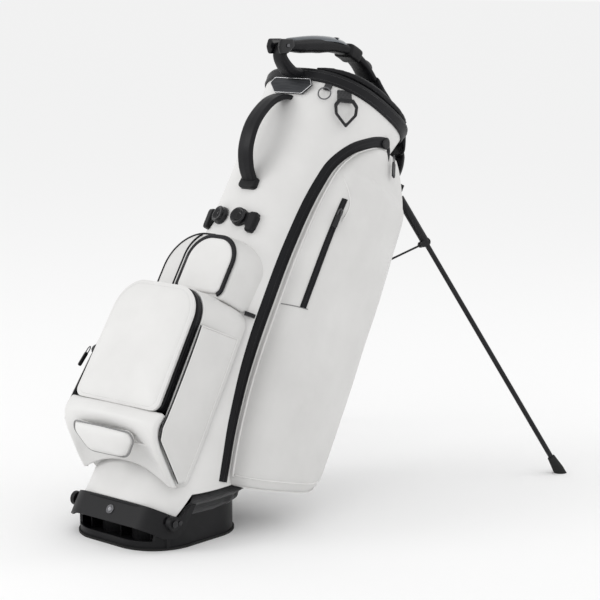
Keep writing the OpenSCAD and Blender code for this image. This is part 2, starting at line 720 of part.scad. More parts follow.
module garment_tray(back, in) {
  // Bottom of the pocket and its inner wall against the body
  count = 12;
  gap = 5;
  levels = [0.02, 0.15, 0.3, 0.5, 0.7, 0.85, 0.97];
  wall_grid = function (off) [for (t = levels) [for (k = [0:count]) tray_pt(t, k / count, off, back)]];
  out_edge = flap_ring(0, gap, count, back, in);
  floor_grid = function (lift) [for (s = [0, 0.5, 1]) [for (k = [1:count - 1])
    let (a = tray_pt(0, k / count, 2, back), b = out_edge[k],
         p = mix([a[0], a[1]], [max(a[0] + 1, b[0]), b[1]], s))
    [p[0], p[1], pocket_hem(p[1]) + 2 + lift]]];
  color("#c9c8c6") leaned() {
    shell(wall_grid(1.6), wall_grid(0));
    shell(floor_grid(0), floor_grid(2.5));
  }
}

module garment_zip(back) {
  // Zipper tape along the pocket's front edge
  width = 18;
  gap = 1.6;
  height = 3.6;
  edge = smooth([for (k = [1:len(ZIP_Y) - 1]) [ZIP_Y[k][1] + back, ZIP_Y[k][0]]], 4);
  m = len(edge);
  skin = function (p) body_x(p[0], p[1]) + 1.8;
  rings = [for (i = [0:m - 1])
    let (d = edge[min(i + 1, m - 1)] - edge[max(i - 1, 0)],
         nrm = [-d[1], d[0]] / norm(d),
         a = edge[i] + nrm * gap, b = edge[i] + nrm * (gap + width / 2), c = edge[i] + nrm * (gap + width))
    [for (q = [[a, 0], [b, 0], [c, 0], [c, height], [b, height], [a, height]]) [skin(q[0]) + q[1], q[0][0], q[0][1]]]];
  color("#111112") leaned() loft(rings);
}

// Frame of the puller, on the flap's rear shoulder with Z up along it
module at_garment_pull(back, in) {
  leaned() translate([135 - 0.8 * in, 88 + back * 0.4, 816]) rotate([-4, -24, 0]) children();
}

module garment_pull(back, in) {
  // Long folded puller that hangs from the slider at the top of the zipper
  color("#17171a") at_garment_pull(back, in) translate([0, -3.5, -52]) cube([3.5, 7, 50]);
}

module garment_tray_right() { garment_tray(0, 0); }

module garment_flap_right() { garment_flap(0, 0); }

module garment_zip_right() { garment_zip(0); }

module garment_pull_right() { garment_pull(0, 0); }

module garment_tray_left() { mirror([1, 0, 0]) garment_tray(left_setback, left_inset); }

module garment_flap_left() { mirror([1, 0, 0]) garment_flap(left_setback, left_inset); }

module garment_zip_left() { mirror([1, 0, 0]) garment_zip(left_setback); }

module garment_pull_left() { mirror([1, 0, 0]) garment_pull(left_setback, left_inset); }

// Short zipper on the front of the right garment flap, between two of its columns
short_low = 0.48;
short_high = 0.79;
short_column = 3;

module short_zip() {
  levels = concat([short_low], [for (t = flap_levels) if (t > short_low && t < short_high) t], [short_high]);
  grid = function (inset) [for (t = levels) let (r = level_ring(t, inset, 0, 0))
    [for (k = [0:1]) r[short_column + k]]];
  color("#111112") leaned() shell(grid(-3), grid(-1));
}

// Frame on the short zipper with X pointing outward; Z runs up along the zipper
short_start = level_ring(short_high, -3, 0, 0);
short_end = level_ring(short_low, -3, 0, 0);
short_top = (short_start[short_column] + short_start[short_column + 1]) / 2;
short_foot = (short_end[short_column] + short_end[short_column + 1]) / 2;
short_turn = -49;

module at_short() {
  d = short_top - short_foot;
  leaned() translate(short_top) rotate([-atan(d[1] / d[2]), atan(d[0] / d[2]), 0]) rotate([0, 0, short_turn])
    children();
}

// The slider sits this far outside the tape
slider_lift = 2;

module short_slider() {
  color("#1a1a1c") at_short() {
    translate([slider_lift, -4, -40]) cube([5, 8, 14]);
    translate([slider_lift + 5, -3, -30]) cube([3, 6, 3]);
  }
}

module short_pull() {
  color("#141416") at_short() translate([slider_lift + 8.4, -4.5, -67]) cube([4, 9, 38]);
}

// ---------- legs ----------
// Frame of a leg: hinge axis along X, folded leg hanging down -Z
module at_hip() { leaned() translate([hip_x, hip_y, hip_z]) rotate([0, 0, -leg_splay]) children(); }

module along_leg() { at_hip() rotate([leg_swing, 0, 0]) children(); }

eye_half = 7;

module leg_bracket() {
  color("#151517") difference() {
    union() {
      leaned() translate([-106, 142, hip_z - 26]) cube([212, 7, 40]);
      both() at_hip() for (s = [-1, 1]) translate([s * (eye_half + 3.3) - 3, -26, -12]) cube([6, 36, 24]);
    }
    both() at_hip() bar_x(3, -20, 20);
    both() at_hip() translate([-eye_half - 0.35, -16, -20]) cube([2 * eye_half + 0.7, 60, 40]);
  }
}

module hip_pins() { color("#4a4a4d") both() at_hip() bar_x(3, -eye_half - 6, eye_half + 6); }

module leg() {
  color("#1c1c1e") along_leg() difference() {
    union() {
      bar_x(10, -eye_half, eye_half);
      translate([0, 0, -knuckle]) cylinder(d = 17, h = knuckle - 19);
      translate([0, 0, -22]) cylinder(d = 2 * eye_half - 1, h = 20);
      translate([0, 0, -knuckle]) bar_x(8, -eye_half, eye_half);
      // Lug on the inner side, which carries the link
      translate([0, -knuckle_in, -knuckle]) bar_x(6, -eye_half, eye_half);
      translate([-eye_half, -knuckle_in, -knuckle - 6]) cube([2 * eye_half, knuckle_in, 12]);
      translate([0, 0, -leg_len + 20]) cylinder(d = tube_d, h = leg_len - 20 - knuckle);
    }
    bar_x(3.05, -20, 20);
    // Slot in the lug for the link
    translate([-2.6, -30, -knuckle - 12]) cube([5.2, 26.2, 18.6]);
    translate([0, -knuckle_in, -knuckle]) bar_x(2.05, -20, 20);
  }
}

module leg_foot() {
  // Flared rubber tip, cut level with the ground
  tip_z = -leg_len;
  color("#0f0f10") difference() {
    along_leg() union() {
      translate([0, 0, tip_z + 14]) cylinder(d1 = 22, d2 = 15, h = 30);
      translate([0, 0, tip_z - 12]) cylinder(d = 22, h = 26);
    }
    along_leg() translate([0, 0, tip_z + 20]) cylinder(d = tube_d, h = 40);
    translate([0, 500, -50]) cube([1200, 1200, 100], center = true);
  }
}

module link() {
  // Wire from the knuckle's lug to the side of the rod's head
  color("#1d1d1f") at_hip() translate([0, reach_out - rod_inset, span_out - hip_z]) rotate([-link_tilt, 0, 0]) {
    bar_x(2, -eye_half, eye_half);
    bar_x(4.6, -2, 2);
    translate([0, 0, -link_len - 2]) cylinder(d = 4, h = link_len);
  }
}

module leg_right() { leg(); }

module leg_foot_right() { leg_foot(); }

module link_right() { link(); }

module leg_left() { mirror([1, 0, 0]) leg(); }

module leg_foot_left() { mirror([1, 0, 0]) leg_foot(); }

module link_left() { mirror([1, 0, 0]) link(); }

// ---------- actuator rods ----------
// A rod runs straight down the back and bends under the bag to the foot
rod_end_y = (-hinge_front + rod_reach) * cos(lean) - hinge_z * sin(lean);
rod_end_z = (-hinge_front + rod_reach) * sin(lean) + hinge_z * cos(lean);
rod_route = [[rod_x, rod_y, rod_top - 8], [rod_x, rod_y, 420], [rod_x, rod_y, 240], [rod_x, rod_y - 1, 216],
             [rod_x - 3, rod_y - 3, 188], [mix(rod_x, rod_end_x, 0.6), rod_end_y + 41, 153],
             [rod_end_x, rod_end_y, rod_end_z]];

module actuator_rods() {
  color("#4b4d50") leaned() both() {
    strap(smooth(rod_route, 3), rod_d, rod_d, soft = 1);
    translate([rod_x, rod_y, rod_top - 10]) cylinder(d = 8, h = 12);
  }
}

module rod_guides() {
  // Height of each guide and the reach of its block to the body
  color("#151517") leaned() both() for (g = [[250, 18.6], [380, 24]]) translate([rod_x, rod_y, g[0]]) difference() {
    union() {
      cylinder(d = 11, h = 16);
      translate([-5.5, -g[1], 0]) cube([11, g[1], 16]);
    }
    translate([0, 0, -1]) cylinder(d = rod_d + 0.8, h = 20);
  }
}

foot_base();
foot_sole();
foot_ribs();
base_cup();
base_emblem();
base_bellows();
hinge_pins();
hinge_screws();
body_shell();
spine_stays();
club_divider();
divider_sleeves();
top_collar();
collar_pad();
carry_handle();
handle_plate();
handle_boot();
lift_handle();
lift_insert();
strap_keeper();
strap_yoke();
shoulder_straps();
strap_webbing();
strap_buckles();
hip_pad();
docks();
pen_clip();
ring_tabs();
carry_ring();
dee_ring();
ball_pocket();
ball_zip();
ball_door();
ball_slider();
ball_pull();
slip_pockets();
valuables_pocket();
valuables_door();
valuables_pull();
garment_tray_right();
garment_flap_right();
garment_zip_right();
garment_pull_right();
short_zip();
short_slider();
short_pull();
garment_tray_left();
garment_flap_left();
garment_zip_left();
garment_pull_left();
leg_bracket();
hip_pins();
rod_guides();
actuator_rods();
leg_right();
leg_foot_right();
link_right();
leg_left();
leg_foot_left();
link_left();
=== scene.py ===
import json
import math

import bmesh
import bpy
import numpy as np
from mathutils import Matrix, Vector, noise

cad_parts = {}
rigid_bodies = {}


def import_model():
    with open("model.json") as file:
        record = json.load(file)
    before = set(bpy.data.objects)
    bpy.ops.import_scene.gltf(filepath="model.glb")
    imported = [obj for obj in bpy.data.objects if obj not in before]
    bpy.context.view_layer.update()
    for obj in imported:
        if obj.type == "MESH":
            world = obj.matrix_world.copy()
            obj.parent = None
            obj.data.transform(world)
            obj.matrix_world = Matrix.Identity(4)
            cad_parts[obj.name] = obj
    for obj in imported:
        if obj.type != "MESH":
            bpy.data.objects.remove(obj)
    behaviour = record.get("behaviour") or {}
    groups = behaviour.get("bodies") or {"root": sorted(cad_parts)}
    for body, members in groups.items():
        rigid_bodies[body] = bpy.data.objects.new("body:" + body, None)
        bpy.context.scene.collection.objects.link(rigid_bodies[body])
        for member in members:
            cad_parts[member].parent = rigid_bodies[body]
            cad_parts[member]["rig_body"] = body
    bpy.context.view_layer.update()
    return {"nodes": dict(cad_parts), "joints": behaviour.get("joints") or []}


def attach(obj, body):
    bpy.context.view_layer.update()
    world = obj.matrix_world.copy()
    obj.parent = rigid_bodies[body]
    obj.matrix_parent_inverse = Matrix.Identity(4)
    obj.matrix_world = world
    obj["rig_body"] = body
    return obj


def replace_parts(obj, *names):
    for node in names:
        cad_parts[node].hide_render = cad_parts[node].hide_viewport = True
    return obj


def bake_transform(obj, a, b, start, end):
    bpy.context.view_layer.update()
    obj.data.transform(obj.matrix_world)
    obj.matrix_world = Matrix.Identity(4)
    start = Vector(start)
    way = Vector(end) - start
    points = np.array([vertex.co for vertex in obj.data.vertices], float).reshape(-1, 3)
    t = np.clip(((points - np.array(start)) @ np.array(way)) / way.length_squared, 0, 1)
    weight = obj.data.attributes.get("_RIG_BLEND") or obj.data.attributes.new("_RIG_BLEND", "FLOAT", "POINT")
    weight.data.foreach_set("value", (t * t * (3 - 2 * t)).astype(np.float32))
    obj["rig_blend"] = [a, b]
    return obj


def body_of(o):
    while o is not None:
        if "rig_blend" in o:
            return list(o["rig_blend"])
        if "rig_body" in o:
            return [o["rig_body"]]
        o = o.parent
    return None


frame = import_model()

# Golf stand bag. Soft parts are drawn upright in the bag's own frame, in millimetres,
# and then leaned back with it. Lengths in Blender are metres.
MM = 0.001
LEAN = math.radians(32)
COS, SIN = math.cos(LEAN), math.sin(LEAN)
SIDEWAYS = [1, 0, 0]
# White stitches: distance between them, then length, width and height
STITCH_PITCH, STITCH = 3.6, (2.4, 0.6, 0.35)


# ---------- camera ----------
def make_camera():
    data = bpy.data.cameras.new("camera")
    data.lens = 112.6
    data.sensor_width = 36
    camera = bpy.data.objects.new("camera", data)
    bpy.context.scene.collection.objects.link(camera)
    camera.location = (2.358, -2.275, 0.982)
    aim = Vector((0.138, 0.234, 0.403)) - camera.location
    camera.rotation_euler = aim.to_track_quat("-Z", "Y").to_euler()
    bpy.context.scene.camera = camera


make_camera()


# ---------- small maths ----------
def leaned(points):
    """Bag-frame millimetres to world metres."""
    p = np.asarray(points, float)
    return np.stack([p[..., 0], p[..., 1] * COS + p[..., 2] * SIN, -p[..., 1] * SIN + p[..., 2] * COS],
                    -1) * MM


def xyz(x, y, z):
    """Points from their coordinates, each an array or one number for all."""
    return np.stack(np.broadcast_arrays(x, y, z), -1)


def spow(v, power):
    return np.sign(v) * np.abs(v) ** power


def plane_z(y, height):
    """Height in the bag's frame of the level plane that lies height above the ground."""
    return height / COS + y * math.tan(LEAN)


def curve(points, count, closed=False):
    """Even samples along a Catmull-Rom curve through the points."""
    p = np.asarray(points, float)
    m = len(p)
    fine = []
    for i in range(m if closed else m - 1):
        if closed:
            a, b, c, d = p[i - 1], p[i], p[(i + 1) % m], p[(i + 2) % m]
        else:
            a, b, c, d = p[max(i - 1, 0)], p[i], p[i + 1], p[min(i + 2, m - 1)]
        t = np.linspace(0, 1, 24, endpoint=False)[:, None]
        fine.append(0.5 * (2 * b + (c - a) * t + (2 * a - 5 * b + 4 * c - d) * t ** 2
                           + (3 * b - a - 3 * c + d) * t ** 3))
    fine = np.concatenate(fine + [p[:1] if closed else p[-1:]])
    return even(fine, count, closed)


def even(points, count, closed=False):
    """Points spaced evenly along a line; a closed line repeats its first point at its end."""
    p = np.asarray(points, float)
    s = np.concatenate([[0], np.cumsum(np.linalg.norm(np.diff(p, axis=0), axis=1))])
    at = np.linspace(0, s[-1], count, endpoint=not closed)
    return np.stack([np.interp(at, s, p[:, k]) for k in range(p.shape[1])], -1)


def table(rows):
    """Smooth function of height through [z, value] rows."""
    fine = curve(rows, 240)
    return lambda z: np.interp(z, fine[:, 0], fine[:, 1])


def unit(v):
    v = np.asarray(v, float)
    return v / np.maximum(np.linalg.norm(v, axis=-1, keepdims=True), 1e-12)


# ---------- driving shapes, as the CAD part states them ----------
MOUTH_Z = 874
WALL = 4
HEM = 90
# The moulded band ends at this depth; in front of it the skin's edge stands at this height
BAND_BACK, BAND_TOP = -84, 12.5
# Top of the garment flaps, and how much the ball pocket narrows toward its top
FLAP_TOP, POCKET_TAPER = 824, 0.08
BALL_HALF, BALL_TOP, BALL_FRONT, DOOR_BOTTOM, SKIRT_LOW = 108, 395, 192, 158, 62
VALUABLES_HALF, VALUABLES_TOP = 90, 522
LEFT_BACK, LEFT_IN = 40, 18
half_x = table([[0, 126], [200, 121], [420, 113], [620, 107], [760, 113], [900, 125]])
half_y = table([[0, 123], [200, 120], [420, 114], [620, 110], [760, 118], [900, 134]])
centre_y = table([[0, 0], [200, 0], [420, 3], [620, 5], [760, 14], [900, 36]])
power = table([[0, 3.3], [200, 3.0], [420, 2.7], [620, 2.6], [900, 2.6]])
ZIP_ROWS = [[90, -3], [110, -7], [190, -28], [270, -41], [340, -46], [410, -47], [520, -45], [620, -40],
            [690, -33], [730, -24], [770, 0], [800, 34], [815, 58], [824, 80]]
zip_y = table(ZIP_ROWS)
rear_y = table([[90, 186], [200, 184], [400, 177], [600, 169], [710, 163], [760, 150], [800, 130],
                [824, 106]])
bulge_x = table([[90, 188], [180, 195], [350, 196], [440, 193], [690, 177], [740, 160], [800, 134],
                 [824, 124]])
LIFT_ROUTE = [[0, -119, 846], [0, -147, 858], [0, -170, 878], [0, -160, 904], [0, -126, 930], [0, -84, 957],
              [0, -40, 979], [0, 6, 990], [0, 48, 987], [0, 86, 974]]


def body_pt(angle, z, inset=0.0):
    """Point of the bag's section at height z, pulled in by inset."""
    n = power(z)
    c, s = np.cos(angle), np.sin(angle)
    return np.stack([(half_x(z) - inset) * spow(c, 2 / n), centre_y(z) + (half_y(z) - inset) * spow(s, 2 / n),
                     z + 0 * c], -1)


def body_x(y, z):
    """Sideways reach of the skin at depth y and height z."""
    n = power(z)
    r = np.minimum(1, np.abs((y - centre_y(z)) / half_y(z)))
    return half_x(z) * (1 - r ** n) ** (1 / n)


def hem_z(y):
    """Bottom edge of the skin: low in front, and level with the ground behind."""
    level = plane_z(y, HEM)
    return np.where(y < BAND_BACK, BAND_TOP,
                    BAND_TOP + (level - BAND_TOP) * np.clip((y - BAND_BACK) / 12, 0, 1))


def ruffle(points, size, scale, seed=0.0):
    """Soft unevenness of cloth, along Z and X and Y alike."""
    p = np.asarray(points, float)
    flat = p.reshape(-1, 3)
    out = np.array([noise.noise(Vector((q[0] / scale + seed, q[1] / scale, q[2] / scale))) for q in flat])
    return size * out.reshape(p.shape[:-1])


# ---------- mesh helpers ----------
def piece(name, points, faces, material, body, smooth=True, slot=None):
    """A new mesh from world points and faces."""
    mesh = bpy.data.meshes.new(name)
    mesh.from_pydata([tuple(p) for p in np.asarray(points, float)], [], [tuple(map(int, f)) for f in faces])
    mesh.validate()
    bm = bmesh.new()
    bm.from_mesh(mesh)
    bmesh.ops.remove_doubles(bm, verts=bm.verts, dist=1e-6)
    bmesh.ops.recalc_face_normals(bm, faces=bm.faces)
    bm.to_mesh(mesh)
    bm.free()
    obj = bpy.data.objects.new(name, mesh)
    bpy.context.scene.collection.objects.link(obj)
    mesh.polygons.foreach_set("use_smooth", [smooth] * len(mesh.polygons))
    mesh.materials.append(material)
    if body:
        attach(obj, body)
    slot or SLOTS[material.name]
    return obj


def grid_faces(rows, columns, closed_row, closed_column, start=0):
    """Quads of a grid of rows x columns points."""
    faces = []
    for i in range(rows if closed_column else rows - 1):
        for j in range(columns if closed_row else columns - 1):
            a = start + i * columns + j
            b = start + i * columns + (j + 1) % columns
            c = start + ((i + 1) % rows) * columns + (j + 1) % columns
            d = start + ((i + 1) % rows) * columns + j
            faces.append((a, b, c, d))
    return faces


def surface(name, grid, material, body="bag", closed_row=True, closed_column=False, caps=False, slot=None,
            bag=True):
    """A surface through a grid of points; caps closes both ends of a closed tube."""
    g = leaned(grid) if bag else np.asarray(grid, float) * MM
    rows, columns = g.shape[:2]
    faces = grid_faces(rows, columns, closed_row, closed_column)
    points = list(g.reshape(-1, 3))
    if caps:
        for row, flip in ((0, False), (rows - 1, True)):
            ring = [row * columns + j for j in range(columns)]
            points.append(g[row].mean(0))
            hub = len(points) - 1
            for j in range(columns):
                pair = (ring[j], ring[(j + 1) % columns])
                faces.append((hub, *(pair if flip else pair[::-1])))
    return piece(name, points, faces, material, body, slot=slot)


def modify(obj, kind, **settings):
    """Adds a modifier and applies it."""
    m = obj.modifiers.new(kind.lower(), kind)
    for key, value in settings.items():
        setattr(m, key, value)
    bpy.context.view_layer.objects.active = obj
    with bpy.context.temp_override(object=obj, active_object=obj, selected_objects=[obj]):
        bpy.ops.object.modifier_apply(modifier=m.name)
    return obj


def thicken(obj, thickness, offset=-1.0):
    return modify(obj, "SOLIDIFY", thickness=thickness * MM, offset=offset, use_even_offset=False)


def soften(obj, levels=1):
    modify(obj, "SUBSURF", levels=levels, render_levels=levels)
    obj.data.polygons.foreach_set("use_smooth", [True] * len(obj.data.polygons))
    return obj


def frames(path, side=None, closed=False):
    """Tangent, side and up directions along a path; side is kept close to a given direction."""
    p = np.asarray(path, float)
    if closed:
        t = unit(np.roll(p, -1, 0) - np.roll(p, 1, 0))
    else:
        t = unit(np.gradient(p, axis=0))
    if side is not None:
        s = np.broadcast_to(np.asarray(side, float), p.shape)
        up = unit(np.cross(t, s))
        return t, unit(np.cross(up, t)), up
    ups = []
    up = unit(np.cross(t[0], [0.31, 0.87, 0.38]))
    for k in range(len(p)):
        up = unit(up - t[k] * np.dot(up, t[k]))
        ups.append(up)
    up = np.array(ups)
    return t, np.cross(up, t), up


def sweep(name, path, section, material, body="bag", side=None, closed=False, slot=None, scale=None,
          caps=True, bag=True):
    """Sweeps a closed section, [across, up] points in millimetres, along a path."""
    p = np.asarray(path, float)
    _, across, up = frames(p, side, closed)
    sec = np.asarray(section, float)
    k = np.ones((len(p), 2)) if scale is None else np.asarray(scale, float).reshape(len(p), -1) * np.ones(2)
    grid = (p[:, None] + across[:, None] * (sec[None, :, :1] * k[:, None, :1])
            + up[:, None] * (sec[None, :, 1:] * k[:, None, 1:]))
    return surface(name, grid, material, body, True, closed, caps and not closed, slot, bag)


def circle(radius, count=12):
    a = np.linspace(0, 2 * math.pi, count, endpoint=False)
    return np.stack([radius * np.cos(a), radius * np.sin(a)], -1)


def oval(width, height, soft=0.6, count=32):
    """Rounded rectangle section; a low soft is squarer."""
    a = np.linspace(0, 2 * math.pi, count, endpoint=False)
    return np.stack([width / 2 * spow(np.cos(a), soft), height / 2 * spow(np.sin(a), soft)], -1)


def tube(name, path, radius, material, body="bag", closed=False, slot=None, count=12, bag=True):
    return sweep(name, path, circle(radius, count), material, body, closed=closed, slot=slot, bag=bag)


def dome_ends(path, count=5, radius=1.0):
    """Scale factors that round both ends of a swept path."""
    n = len(path)
    scale = np.ones(n)
    for k in range(count):
        f = math.sin(math.pi / 2 * (k + 0.6) / count)
        scale[k] = min(scale[k], f)
        scale[n - 1 - k] = min(scale[n - 1 - k], f)
    return scale * radius


def beads(name, path, normals, pitch, size, material, body="bag", slot=None, turn=0.0):
    """Small rounded blocks in a row along a path: stitches, zipper teeth or rivets.
    size is length along the path, width across it and height off the surface."""
    p = np.asarray(path, float)
    length = np.linalg.norm(np.diff(p, axis=0), axis=1).sum()
    count = max(2, int(length / pitch))
    s = np.concatenate([[0], np.cumsum(np.linalg.norm(np.diff(p, axis=0), axis=1))])
    at = (np.arange(count) + 0.5) * s[-1] / count
    centre = np.stack([np.interp(at, s, p[:, k]) for k in range(3)], -1)
    nrm = unit(np.stack([np.interp(at, s, normals[:, k]) for k in range(3)], -1))
    tangent = unit(np.stack([np.interp(at, s, unit(np.gradient(p, axis=0))[:, k]) for k in range(3)], -1))
    across = unit(np.cross(nrm, tangent))
    ct, st = math.cos(turn), math.sin(turn)
    tangent, across = tangent * ct + across * st, across * ct - tangent * st
    shape = [(-0.5, -0.3, 0), (0.5, -0.3, 0), (0.5, 0.3, 0), (-0.5, 0.3, 0), (-0.34, -0.5, 0.55),
             (0.34, -0.5, 0.55), (0.34, 0.5, 0.55), (-0.34, 0.5, 0.55), (-0.22, -0.22, 1), (0.22, -0.22, 1),
             (0.22, 0.22, 1), (-0.22, 0.22, 1)]
    quads = [(0, 1, 5, 4), (1, 2, 6, 5), (2, 3, 7, 6), (3, 0, 4, 7), (4, 5, 9, 8), (5, 6, 10, 9),
             (6, 7, 11, 10), (7, 4, 8, 11), (8, 9, 10, 11), (3, 2, 1, 0)]
    points, faces = [], []
    for k in range(count):
        base = len(points)
        for a, b, c in shape:
            points.append(centre[k] + tangent[k] * a * size[0] + across[k] * b * size[1]
                          + nrm[k] * c * size[2])
        faces += [tuple(base + i for i in q) for q in quads]
    return piece(name, leaned(points), faces, material, body, slot=slot)


def join(name, objs):
    """Joins pieces that share a body into one object of that name."""
    for o in bpy.context.selected_objects:
        o.select_set(False)
    with bpy.context.temp_override(active_object=objs[0], object=objs[0], selected_objects=objs,
                                   selected_editable_objects=objs):
        bpy.ops.object.join()
    objs[0].name = name
    objs[0].data.name = name
    return objs[0]


def inflate(obj, pressure=4.0, voxel=5.0, cap=8.0, frames_run=20):
    """Puffs a closed pad with a cloth simulation; no point moves further than cap millimetres."""
    body = body_of(obj)[0]
    world = obj.matrix_world.copy()
    obj.parent = None
    obj.matrix_world = world
    modify(obj, "REMESH", mode="VOXEL", voxel_size=voxel * MM)
    rest = np.array([v.co for v in obj.data.vertices], float)
    cloth = obj.modifiers.new("cloth", "CLOTH")
    cloth.settings.quality = 6
    cloth.settings.use_pressure = True
    cloth.settings.uniform_pressure_force = pressure
    cloth.settings.tension_stiffness = 30
    cloth.settings.compression_stiffness = 30
    cloth.settings.effector_weights.gravity = 0
    scene = bpy.context.scene
    for k in range(1, frames_run + 1):
        scene.frame_set(k)
    graph = bpy.context.evaluated_depsgraph_get()
    moved = np.array([v.co for v in obj.evaluated_get(graph).data.vertices], float)
    obj.modifiers.remove(cloth)
    step = moved - rest
    size = np.linalg.norm(step, axis=1, keepdims=True)
    step *= np.minimum(1, cap * MM / np.maximum(size, 1e-9))
    obj.data.vertices.foreach_set("co", (rest + step).astype(np.float32).ravel())
    obj.data.update()
    scene.frame_set(1)
    soften(obj)
    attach(obj, body)
    return obj


# ---------- materials ----------
def nodes_of(name):
    material = bpy.data.materials.new(name)
    material.use_nodes = True
    tree = material.node_tree
    shader = tree.nodes["Principled BSDF"]
    return material, tree, shader


def link_noise(tree, scale, detail=4.0, roughness=0.55, kind="ShaderNodeTexNoise", **more):
    coords = tree.nodes.new("ShaderNodeTexCoord")
    texture = tree.nodes.new(kind)
    texture.inputs["Scale"].default_value = scale
    if kind == "ShaderNodeTexNoise":
        texture.inputs["Detail"].default_value = detail
        texture.inputs["Roughness"].default_value = roughness
    for key, value in more.items():
        setattr(texture, key, value)
    tree.links.new(coords.outputs["Object"], texture.inputs["Vector"])
    return texture


def ramp(tree, source, low, high, start=0.3, end=0.7):
    node = tree.nodes.new("ShaderNodeValToRGB")
    node.color_ramp.elements[0].color = (*low, 1)
    node.color_ramp.elements[1].color = (*high, 1)
    node.color_ramp.elements[0].position = start
    node.color_ramp.elements[1].position = end
    tree.links.new(source, node.inputs["Fac"])
    return node.outputs["Color"]


def spread(tree, source, low, high):
    node = tree.nodes.new("ShaderNodeMapRange")
    node.inputs["To Min"].default_value = low
    node.inputs["To Max"].default_value = high
    tree.links.new(source, node.inputs["Value"])
    return node.outputs["Result"]


def bumps(tree, shader, layers):
    """Chains bump nodes: each layer is (height socket, strength, distance in metres)."""
    previous = None
    for height, strength, distance in layers:
        node = tree.nodes.new("ShaderNodeBump")
        node.inputs["Strength"].default_value = strength
        node.inputs["Distance"].default_value = distance
        tree.links.new(height, node.inputs["Height"])
        if previous is not None:
            tree.links.new(previous, node.inputs["Normal"])
        previous = node.outputs["Normal"]
    tree.links.new(previous, shader.inputs["Normal"])


def leather(name, low, high, rough=(0.4, 0.52), grain=900, strength=0.35, soft=30, shine=0.35):
    """Coated leather: fine cellular grain over soft unevenness, and patchy gloss."""
    material, tree, shader = nodes_of(name)
    cells = link_noise(tree, grain, kind="ShaderNodeTexVoronoi", feature="SMOOTH_F1")
    fine = link_noise(tree, grain * 1.7, 6)
    broad = link_noise(tree, soft, 3)
    patch = link_noise(tree, 9, 5)
    tree.links.new(ramp(tree, patch.outputs["Fac"], low, high), shader.inputs["Base Color"])
    tree.links.new(spread(tree, broad.outputs["Fac"], *rough), shader.inputs["Roughness"])
    bumps(tree, shader, [(broad.outputs["Fac"], 0.25, 0.0012), (cells.outputs["Distance"], strength, 0.00022),
                         (fine.outputs["Fac"], strength, 0.00012)])
    shader.inputs["Specular IOR Level"].default_value = shine
    return material


def plastic(name, low, high, rough=(0.42, 0.6), grain=1400, strength=0.25, coat=0.0, metal=0.0):
    """Moulded plastic or painted metal with a fine spark-eroded grain and rubbed patches."""
    material, tree, shader = nodes_of(name)
    fine = link_noise(tree, grain, 5)
    broad = link_noise(tree, 14, 6, 0.65)
    tree.links.new(ramp(tree, broad.outputs["Fac"], low, high), shader.inputs["Base Color"])
    tree.links.new(spread(tree, broad.outputs["Fac"], *rough), shader.inputs["Roughness"])
    bumps(tree, shader, [(broad.outputs["Fac"], 0.12, 0.0008), (fine.outputs["Fac"], strength, 0.00015)])
    shader.inputs["Coat Weight"].default_value = coat
    shader.inputs["Coat Roughness"].default_value = 0.12
    shader.inputs["Metallic"].default_value = metal
    shader.inputs["Specular IOR Level"].default_value = 0.2
    return material


def woven(name, low, high, pitch=0.0011, rough=(0.72, 0.9), strength=0.6):
    """Plain weave: two crossed sets of yarns with a little fuzz."""
    material, tree, shader = nodes_of(name)
    coords = tree.nodes.new("ShaderNodeTexCoord")
    yarns = []
    for direction in ("X", "Z"):
        wave = tree.nodes.new("ShaderNodeTexWave")
        wave.bands_direction = direction
        wave.inputs["Scale"].default_value = 1 / (pitch * 20) * 2 * math.pi / 2
        wave.inputs["Distortion"].default_value = 0.6
        wave.inputs["Detail"].default_value = 1
        tree.links.new(coords.outputs["Object"], wave.inputs["Vector"])
        yarns.append(wave.outputs["Fac"])
    mixed = tree.nodes.new("ShaderNodeMath")
    mixed.operation = "MAXIMUM"
    for k in (0, 1):
        tree.links.new(yarns[k], mixed.inputs[k])
    fuzz = link_noise(tree, 600, 6)
    broad = link_noise(tree, 22, 4)
    tree.links.new(ramp(tree, mixed.outputs["Value"], low, high, 0.1, 0.9), shader.inputs["Base Color"])
    tree.links.new(spread(tree, broad.outputs["Fac"], *rough), shader.inputs["Roughness"])
    bumps(tree, shader, [(broad.outputs["Fac"], 0.4, 0.0015), (mixed.outputs["Value"], strength, 0.0003),
                         (fuzz.outputs["Fac"], 0.3, 0.00015)])
    shader.inputs["Sheen Weight"].default_value = 0.25
    return material


def metal(name, low, high, rough=(0.2, 0.34), brushed=True):
    """Brushed plate: streaks along X over a polished base."""
    material, tree, shader = nodes_of(name)
    coords = tree.nodes.new("ShaderNodeTexCoord")
    stretch = tree.nodes.new("ShaderNodeMapping")
    stretch.inputs["Scale"].default_value = (30, 900, 900) if brushed else (200, 200, 200)
    streaks = tree.nodes.new("ShaderNodeTexNoise")
    streaks.inputs["Scale"].default_value = 1
    streaks.inputs["Detail"].default_value = 4
    tree.links.new(coords.outputs["Object"], stretch.inputs["Vector"])
    tree.links.new(stretch.outputs["Vector"], streaks.inputs["Vector"])
    tree.links.new(ramp(tree, streaks.outputs["Fac"], low, high), shader.inputs["Base Color"])
    tree.links.new(spread(tree, streaks.outputs["Fac"], *rough), shader.inputs["Roughness"])
    bumps(tree, shader, [(streaks.outputs["Fac"], 0.15, 0.0001)])
    shader.inputs["Metallic"].default_value = 1
    return material


